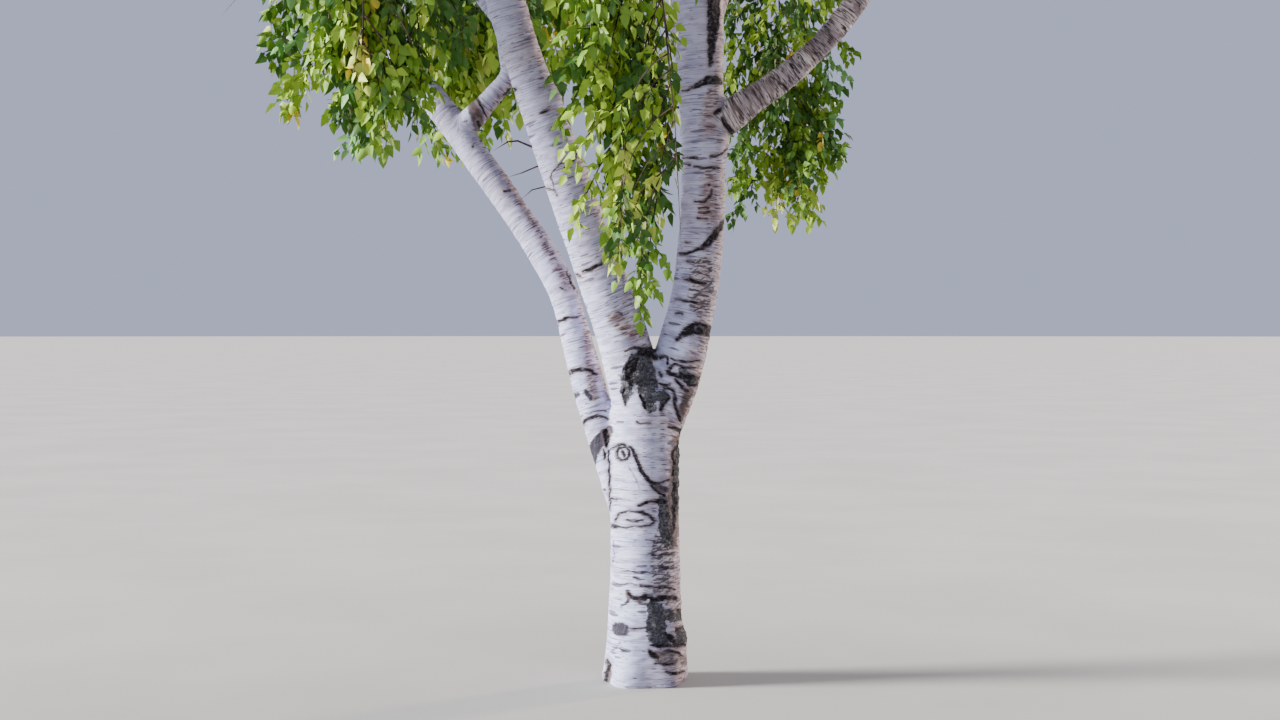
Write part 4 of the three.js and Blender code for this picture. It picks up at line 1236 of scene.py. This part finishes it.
# A spray in full: a hanging twiglet with side twiglets, in the outline of the solid's leaf. A rule of two
# numbers gives the least and what chance adds to it at most.
HANGING = dict(length=0.95, reach=0.19, segments=6, side_segments=1, droop=0.3, sides=14, side_angle=46,
               leaf_gap=0.036, ragged=0.3)
LOW_HANGING = dict(length=0.5, reach=0.15, segments=4, side_segments=2, droop=0.2, sides=8, side_angle=50,
                   leaf_gap=0.024, ragged=0.2)
LENGTH_RULE, REACH_RULE, TWIG_LENGTH_RULE = (0.6, 0.5), (0.7, 0.5), (0.8, 0.4)
SIDE_TWIGLETS = dict(first=0.8, after=0.4, turn=40, droop=0.35, widest=0.45, tip_share=0.2)
TIP_GAP = 1.3  # the leaf gap of a spray's own twiglet, as a share of its side twiglets' gap
OTHER_COLOUR = 0.25  # the share of side twiglets whose leaves have a colour of their own
LEAF = dict(width=0.8, hang=1.1, hang_rule=(0.35, 0.9), fold=0.22, first=0.6, spread=55, end_spread=15,
            spread_scatter=20, turn_scatter=60)
# Twigs of a spreading mass, and of one that hangs low in front or behind
SPREADING_TWIGS = dict(count=22, per_twig=6, longer=1.15, spray=HANGING, leaf_length=(0.06, 0.086),
                       stem_radii=(0.02, 0.006), twig_radii=(0.007, 0.003), usual_colour="mid")
LOW_TWIGS = dict(count=24, per_twig=4, longer=1, spray=LOW_HANGING, leaf_length=(0.042, 0.06),
                 stem_radii=(0.005, 0.0025), twig_radii=(0.0035, 0.002), usual_colour="bright")
SPRAY_RADII, SIDE_RADII = (0.0035, 0.0016), (0.002, 0.0012)
# The stem's own sprays: how far along it each stands, and the angle off it
STEM_SPRAYS = ((0.98, 10), (0.86, 50), (0.7, 60), (0.55, 60))

# Where the photograph shows the stems bare among the leaves, in its pixels as for the marks, and the
# share of leaves that hangs there all the same
OPEN_VIEWS = {
    "right_stem": [(707, -20, 22), (708, 150, 25), (699, 250, 26), (693, 330, 34)],
    "middle_stem_top": [(506, 88, 9), (536, 145, 11), (556, 195, 13)],
    "middle_stem_foot": [(600, 275, 22), (640, 345, 18)],
    "west_stem_top": [(464, 130, 11), (500, 190, 13), (520, 215, 13)],
    "west_stem_foot": [(572, 300, 15), (590, 340, 15)],
    "fork": [(650, 350, 40), (650, 400, 40)],
}
LEFT_IN_VIEW, OPEN_VIEW_DEPTH = 0.1, 0.15
# Leaf colours, each with its share of the sprays. The masses that hang low have no rust.
LEAF_COLOURS = {
    "bright": (shade(148, 180, 52), 0.27),
    "mid": (shade(112, 150, 42), 0.3),
    "deep": (shade(62, 102, 30), 0.24),
    # The blue-green leaves are painted shade and a painted reflection of the sky, dealt out at random.
    "blue_green": (shade(108, 156, 86), 0.09),
    "pale": (shade(178, 194, 80), 0.06),
    "yellow": (shade(206, 190, 62), 0.034),
    "rust": (shade(176, 108, 54), 0.006),
}
# Dead twigs on the stems: how far back each lies, its radius, and its line in the photograph's pixels
BARE_TWIGS = {
    "right_high": (0.06, 0.011, [(690, 94), (668, 87), (650, 83), (632, 87), (612, 99)]),
    "right_low": (0.08, 0.008, [(690, 110), (665, 105), (640, 107), (622, 113)]),
    "right_forked": (0.06, 0.006, [(655, 84), (640, 74), (622, 76)]),
    "middle_high": (-0.06, 0.007, [(540, 150), (530, 146), (518, 141), (508, 142), (492, 152)]),
    "middle_low": (-0.06, 0.005, [(556, 162), (536, 167), (522, 173), (506, 178)]),
    "middle_lowest": (-0.04, 0.005, [(560, 180), (544, 187), (532, 190), (520, 201)]),
}


class Mass:
    """A mass of foliage: its space, and how its twigs grow in it."""

    def __init__(self, carrier, index):
        limb = limbs[carrier]
        self.name = short_name(carrier) + "_foliage"
        self.random = stream(FRONT_SEEDS.get(carrier, index + FIRST_SEED))
        self.weeping = carrier in WEEPING_SPACES
        self.kind = {**WEEPING, **WEEPING_SPACES[carrier]} if self.weeping else SPREADING
        self.twigs = LOW_TWIGS if self.weeping else SPREADING_TWIGS
        by_length = MASS_SIZE["start"] + limb.length / MASS_SIZE["length_per_size"]
        self.size = 1.0 if self.weeping else min(1.0, max(MASS_SIZE["smallest"], by_length))
        self.tip, self.direction = limb.place(limb.length)[:2]
        self.bough_end = limb.place(limb.length - self.size * np.array(BOUGH_END))[0]
        self.middle = self.tip + self.direction * self.kind["ahead"] * self.size
        self.middle[2] -= self.kind["below"] * self.size
        self.half = np.array([self.kind["wide"], self.kind["deep"], self.kind["high"]]) * self.size
        self.stem_length = (
            self.kind["high"] * self.kind["stem_per_height"] if self.weeping
            else self.kind["stem_length"] * self.size)

    def wall_off(self, others):
        """The walls halfway to the other masses, as directions and distances."""
        between = np.array([other.middle - self.middle for other in others if other is not self])
        far = np.linalg.norm(between, axis=1)
        self.walls, self.wall_at = between / far[:, None], far / 2 - SPACE_MARGIN

    def inside(self, points, share=1.0):
        """Whether all the points lie in the space, or in the inner share of it."""
        off = points - self.middle
        in_round = (np.linalg.norm(off / self.half, axis=1) < share).all()
        in_box = ((points > CROWN_BOX[0]) & (points < CROWN_BOX[1])).all()
        return in_round and in_box and (off @ self.walls.T < self.wall_at).all()


def index_wood():
    """A search tree of the limbs' points, and the radius of the limb at each."""
    tree = KDTree(sum(len(limb.points) for limb in limbs.values()))
    radii = []
    for limb in limbs.values():
        for i, point in enumerate(limb.points):
            tree.insert(point, len(radii))
            radii.append(float(limb.radius(i * limb.step)))
    tree.balance()
    return tree, radii


masses = [Mass(carrier, index) for index, carrier in enumerate(list(limbs)[1:])]
for mass in masses:
    mass.wall_off(masses)
wood_at, wood_radii = index_wood()
twig_lines = []  # (points, thick radius, thin radius) of every twig
leaves = {name: [] for name in LEAF_COLOURS}  # arrays with rows of root, direction, face, length


def clear_of_wood(*points):
    for point in points:
        _, index, distance = wood_at.find(point)
        if distance <= wood_radii[index] + WOOD_MARGIN:
            return False
    return True


def by_chance(draw, rule):
    least, more = rule
    return least + more * next(draw)


def pick_colour(mass, draw):
    at = next(draw)
    for name, (_, share) in LEAF_COLOURS.items():
        at -= share
        if at < 0 and not (mass.weeping and name == "rust"):
            return name
    return mass.twigs["usual_colour"]


def hides_a_stem(point):
    """Whether a leaf here hangs in front of a stretch of stem that the photograph shows bare."""
    point = np.array([point])
    return point[0, 1] < OPEN_VIEW_DEPTH and photo_marks(point, np.zeros(1), OPEN_VIEWS)[0] < 0


def left_open(mass, draw, *points):
    """Whether nothing grows here so that a stem stays in view."""
    return mass.weeping and any(hides_a_stem(point) for point in points) and next(draw) > LEFT_IN_VIEW


def add_leaves(mass, points, gap, colour, draw):
    """Leaves along a twiglet, alternate, and one at its tip."""
    length = np.linalg.norm(np.diff(points, axis=0), axis=1).sum()
    last = max(1, int(length / gap))
    k = np.arange(last + 1)
    draws = np.array([next(draw) for _ in range(5 * len(k))]).reshape(5, -1)
    for_spread, for_turn, for_hang, for_face, for_size = draws
    point, way = on_twig(points, (k + LEAF["first"]) / (last + LEAF["first"]))
    spread = np.where(k == last, LEAF["end_spread"], LEAF["spread"])
    spread = spread + LEAF["spread_scatter"] * (for_spread - 0.5)
    heading = off_from(way, spread, 90 + 180 * k + LEAF["turn_scatter"] * (for_turn - 0.5))
    least, more = LEAF["hang_rule"]
    heading = unit(heading - UP * (LEAF["hang"] * (least + more * for_hang))[:, None])
    face = off_from(heading, 90.0, 360 * for_face)
    smallest, largest = mass.twigs["leaf_length"]
    size = smallest + (largest - smallest) * for_size
    leaves[colour].append(np.concatenate([point, heading, face, size[:, None]], axis=1))


def side_reach(share):
    """How far side twiglets reach at a share of the way down a spray: most near its middle."""
    widest, tip = SIDE_TWIGLETS["widest"], SIDE_TWIGLETS["tip_share"]
    return min(share / widest, (1 - share) / (1 - widest) * (1 - tip) + tip)


def grow_spray(mass, root, direction):
    """One hanging spray from a twig: a twiglet with side twiglets and the leaves on them."""
    draw, spray = mass.random, mass.twigs["spray"]
    length = spray["length"] * by_chance(draw, LENGTH_RULE)
    ends_within = 1 - spray["ragged"] * next(draw)
    line = twig_points(root, direction, length, spray["droop"], spray["segments"])
    while not mass.inside(line[1:], ends_within) and len(line) > 2:
        line = line[:-1]
    if len(line) < 3 or not clear_of_wood(line[-1]):
        return
    if left_open(mass, draw, line[len(line) // 2]):
        return
    colour = pick_colour(mass, draw)
    twig_lines.append((line, *SPRAY_RADII))
    add_leaves(mass, line, spray["leaf_gap"] * TIP_GAP, colour, draw)
    for j in range(spray["sides"]):
        share = (j + SIDE_TWIGLETS["first"]) / (spray["sides"] + SIDE_TWIGLETS["after"])
        point, way = on_twig(line, share)
        reach = spray["reach"] * side_reach(share) * by_chance(draw, REACH_RULE)
        turn = GOLDEN_ANGLE * j + SIDE_TWIGLETS["turn"] * next(draw)
        side_way = off_from(way, spray["side_angle"], turn)
        side_line = twig_points(point, side_way, reach, SIDE_TWIGLETS["droop"], spray["side_segments"])
        if not mass.inside(side_line[1:]) or not clear_of_wood(side_line[-1]):
            continue
        if left_open(mass, draw, side_line[-1]):
            continue
        twig_lines.append((side_line, *SIDE_RADII))
        own_colour = pick_colour(mass, draw) if next(draw) < OTHER_COLOUR else colour
        add_leaves(mass, side_line, spray["leaf_gap"], own_colour, draw)


def find_stem(mass):
    """The stem of a mass, from its bough's tip: the first way of falling clear of the wood, or the last."""
    start = mass.tip + mass.direction * CLEARANCE
    stem = None
    for fall in mass.kind["falls"]:
        line = twig_points(start, mass.direction, mass.stem_length, fall, MASS_STEM["segments"])
        if stem is None or not clear_of_wood(*stem[2:]):
            stem = line
    return stem


def find_twig(mass, stem, k):
    """A twig from a stem, in the mass's space and clear of the wood, or None after some tries."""
    draw, count = mass.random, mass.twigs["count"]
    for attempt in range(TRIES):
        at, way = on_twig(stem, MASS_STEM["first"] + MASS_STEM["over"] * (k + 0.5 * next(draw)) / count)
        turn = GOLDEN_ANGLE * k + TWIG["scatter"] * (2 * attempt + next(draw) - 0.5)
        length = mass.kind["twig_length"] * mass.size * by_chance(draw, TWIG_LENGTH_RULE)
        length = length * TWIG["shrink"] ** attempt * mass.twigs["longer"]
        heading = off_from(way, TWIG["set_off"], turn)
        line = twig_points(at, heading, length, TWIG["droop"], TWIG["segments"])
        if mass.inside(line[1:]) and clear_of_wood(*line[1:]):
            return line
    return None


def grow_twig_sprays(mass, line):
    """Sprays to either side along a twig, and the last one ahead."""
    draw, count = mass.random, mass.twigs["per_twig"]
    for j in range(count):
        spread = SPRAY["end"] if j == count - 1 else SPRAY["side"]
        point, way = on_twig(line, (j + SPRAY["along"]) / count)
        turn = 90 + 180 * j + SPRAY["scatter"] * (next(draw) - 0.5)
        grow_spray(mass, point, unit(off_from(way, spread, turn) - UP * SPRAY["hang"]))


def grow_mass(mass):
    """The source's rule, carried on to finer twigs: a stem from the bough's tip, twigs round it, sprays."""
    draw = mass.random
    stem = find_stem(mass)
    twig_lines.append((stem, *mass.twigs["stem_radii"]))
    if not mass.weeping:
        stem = np.concatenate([mass.bough_end, stem])
    for k in range(mass.twigs["count"]):
        line = find_twig(mass, stem, k)
        if line is None or left_open(mass, draw, line[-1], line[2]):
            continue
        twig_lines.append((line, *mass.twigs["twig_radii"]))
        grow_twig_sprays(mass, line)
    for share, spread in STEM_SPRAYS:
        point, way = on_twig(stem, share)
        grow_spray(mass, point, unit(off_from(way, spread, 360 * next(draw)) - UP * SPRAY["hang"]))


def grow_bare_twigs():
    for depth, thick, chain in BARE_TWIGS.values():
        px, py = np.array(chain, float).T
        pixel = (depth - EYE.y) / FOCAL_PX
        x, z = EYE.x + (px - PHOTO_WIDTH / 2) * pixel, EYE.z - (py - HORIZON_PY) * pixel
        twig_lines.append((np.stack([x, np.full(len(x), depth), z], axis=1), thick, thick * 0.5))


# Joined meshes of leaves and of twigs

# A leaf lies along +Y, one long: outline points on each side of a midrib, and how far the fold lifts them
LEAF_SHAPE = np.array([
    (0, 0, 0), (-0.44, 0.27, 1), (-0.27, 0.68, 0.8), (0, 1.05, 0), (0.27, 0.68, 0.8), (0.44, 0.27, 1),
])
LEAF_FACES = np.array([(0, 3, 2), (0, 2, 1), (0, 5, 4), (0, 4, 3)])
TWIG_CORNERS = (90, 210, 330)
MOST_TRIANGLES = 180000  # in one joined piece


def mesh_from_arrays(name, verts, faces):
    """A mesh from arrays of vertices and of faces that all have as many corners."""
    mesh = bpy.data.meshes.new(name)
    corners = faces.shape[1]
    mesh.vertices.add(len(verts))
    mesh.vertices.foreach_set("co", verts.astype(np.float32).ravel())
    mesh.loops.add(faces.size)
    mesh.loops.foreach_set("vertex_index", faces.astype(np.int32).ravel())
    mesh.polygons.add(len(faces))
    mesh.polygons.foreach_set("loop_start", np.arange(len(faces), dtype=np.int32) * corners)
    mesh.update(calc_edges=True)
    mesh.validate()
    return mesh


def leaf_pieces(colour, material):
    rows = np.concatenate(leaves[colour])
    roots, headings, faces, lengths = rows[:, :3], rows[:, 3:6], rows[:, 6:9], rows[:, 9]
    across = unit(np.cross(headings, faces))
    shape = LEAF_SHAPE[None]
    along = shape[..., 1:2] * (lengths[:, None, None] * headings[:, None])
    wide = shape[..., 0:1] * ((lengths * LEAF["width"])[:, None, None] * across[:, None])
    deep = shape[..., 2:3] * ((lengths * LEAF["fold"] * 0.5)[:, None, None] * faces[:, None])
    verts = roots[:, None] + along + wide + deep
    most = MOST_TRIANGLES // len(LEAF_FACES)
    made = []
    for part, first in enumerate(range(0, len(rows), most)):
        chunk = verts[first:first + most]
        tris = LEAF_FACES[None] + (np.arange(len(chunk)) * len(LEAF_SHAPE))[:, None, None]
        name = f"leaves_{colour}" + (f"_{part + 1}" if part else "")
        mesh = mesh_from_arrays(name, chunk.reshape(-1, 3), tris.reshape(-1, 3))
        made.append(piece_from(name, mesh, material))
    return made


def twig_faces(rings):
    """Triangles of one twig with so many rings of three: its foot, its sides and its tip."""
    tip = rings * 3
    tris = [(2, 1, 0)]
    for at in range(0, tip, 3):
        for k in range(3):
            a, b = at + k, at + (k + 1) % 3
            tris += [(a, b, tip)] if at + 3 == tip else [(a, b, b + 3), (a, b + 3, a + 3)]
    return np.array(tris)


def twig_mesh(name, lines):
    """Three-sided twigs through their points, each closed at its foot and drawn out to a point, joined."""
    verts, faces, base = [], [], 0
    turn = np.radians(TWIG_CORNERS)[:, None]
    for count in sorted({len(line) for line, _, _ in lines}):
        group = [twig for twig in lines if len(twig[0]) == count]
        line, thick, thin = (np.array(column) for column in zip(*group))
        way = unit(np.gradient(line, axis=1))
        side = off_from(way, 90.0, 0.0)
        across = side[:, :, None] * np.cos(turn) + np.cross(side, way)[:, :, None] * np.sin(turn)
        radius = thick[:, None] + (thin - thick)[:, None] * np.linspace(0, 1, count)
        rings = (line[:, :, None] + radius[:, :, None, None] * across)[:, :-1].reshape(len(group), -1, 3)
        verts.append(np.concatenate([rings, line[:, -1:]], axis=1).reshape(-1, 3))
        points_each = rings.shape[1] + 1
        starts = base + np.arange(len(group)) * points_each
        faces.append((twig_faces(count - 1)[None] + starts[:, None, None]).reshape(-1, 3))
        base += len(group) * points_each
    return mesh_from_arrays(name, np.concatenate(verts), np.concatenate(faces))


def twig_pieces(lines, material):
    counts = [len(line) for line, _, _ in lines]
    faces_each = {count: len(twig_faces(count - 1)) for count in set(counts)}
    triangles = np.cumsum([faces_each[count] for count in counts])
    parts = triangles // MOST_TRIANGLES
    made = []
    for part in range(parts[-1] + 1):
        mesh = twig_mesh(f"twigs_{part + 1}", [twig for twig, own in zip(lines, parts) if own == part])
        made.append(piece_from(mesh.name, mesh, material))
    return made


# The making

def make_bark():
    white, thin = white_bark(), bough_bark()
    lower_names = ["trunk", *STEMS, "east_bough", "back_leader", "riser_bough"]
    spans = {name: limbs[name].points[:, 2] for name in lower_names}
    for piece, low, high in bark_bands(lower_skin(lower_names), white):
        covered = [name for name, z in spans.items() if z.min() < high and z.max() > low]
        finish_piece(piece, "white_bark", *covered)
    for name, limb in limbs.items():
        if name == "trunk":
            continue
        start = length_to_height(limb, LOWER_TOP) - BAND_OVERLAP if name in lower_names else 0.0
        if start > limb.length - SHORTEST_BARK:
            continue
        thick = name in STEMS or name == "back_leader"
        piece = limb_bark(name, start, white if thick else thin, LIMB_SIDES if thick else BOUGH_SIDES)
        finish_piece(piece, "white_bark" if thick else "bough_bark", name)


def make_foliage():
    for mass in masses:
        grow_mass(mass)
    grow_bare_twigs()
    names = [mass.name for mass in masses]
    bark = twig_bark()
    for piece in twig_pieces(twig_lines, bark):
        finish_piece(piece, "leaves_and_twigs", *names)
    for colour, (rgb, _) in LEAF_COLOURS.items():
        material = leaf_green("leaf_" + colour, rgb)
        for piece in leaf_pieces(colour, material):
            finish_piece(piece, "leaves_and_twigs", *names)


# Floor, light and camera

FLOOR_RADIUS, FLOOR_SIDES = 450, 96
FLOOR_GREYS = shade(168, 167, 163), shade(176, 175, 171)
SKY = dict(colour=(0.66, 0.71, 1.0, 1), strength=0.7)
# Soft lamps far off: where each stands, its spread in degrees, its strength and its colour
LAMPS = {
    "left": ((-18, -2, 7), 14, 12.5, (1.0, 0.97, 0.93)),
    "right_rim": ((15, 11, 4), 8, 4.2, (1.0, 0.8, 0.64)),
    "above": ((-3, 6, 16), 40, 1.5, (1.0, 0.98, 0.94)),
}
FARTHEST_SEEN = 500


def make_floor():
    f = Finish("pale_floor", 0.9, specular=0.1)
    f.connect("Base Color", f.mix(f.ramp(f.noise(f.place(), 0.6), 0.3, 0.7), *FLOOR_GREYS))
    bm = bmesh.new()
    bmesh.ops.create_circle(bm, cap_ends=True, segments=FLOOR_SIDES, radius=FLOOR_RADIUS)
    piece_from("floor", mesh_from(bm, "floor"), f.material)


def make_light():
    world = bpy.data.worlds.new("studio")
    bpy.context.scene.world = world
    world.use_nodes = True
    background = world.node_tree.nodes["Background"].inputs
    background["Color"].default_value = SKY["colour"]
    background["Strength"].default_value = SKY["strength"]
    for name, (place, spread, strength, colour) in LAMPS.items():
        data = bpy.data.lights.new(name, "SUN")
        data.angle, data.energy, data.color = math.radians(spread), strength, colour
        lamp = bpy.data.objects.new(name, data)
        lamp.location = place
        lamp.rotation_euler = (-Vector(place)).to_track_quat("-Z", "Y").to_euler()
        bpy.context.scene.collection.objects.link(lamp)


def make_camera():
    data = bpy.data.cameras.new("camera")
    data.lens, data.sensor_width = LENS_MM, SENSOR_MM
    data.clip_end = FARTHEST_SEEN
    camera = bpy.data.objects.new("camera", data)
    camera.location = EYE
    tip_down = math.atan((PHOTO_HEIGHT / 2 - HORIZON_PY) / FOCAL_PX)
    camera.rotation_euler = (math.pi / 2 - tip_down, 0, 0)
    bpy.context.scene.collection.objects.link(camera)
    bpy.context.scene.camera = camera


make_camera()
make_light()
make_floor()
make_bark()
make_foliage()
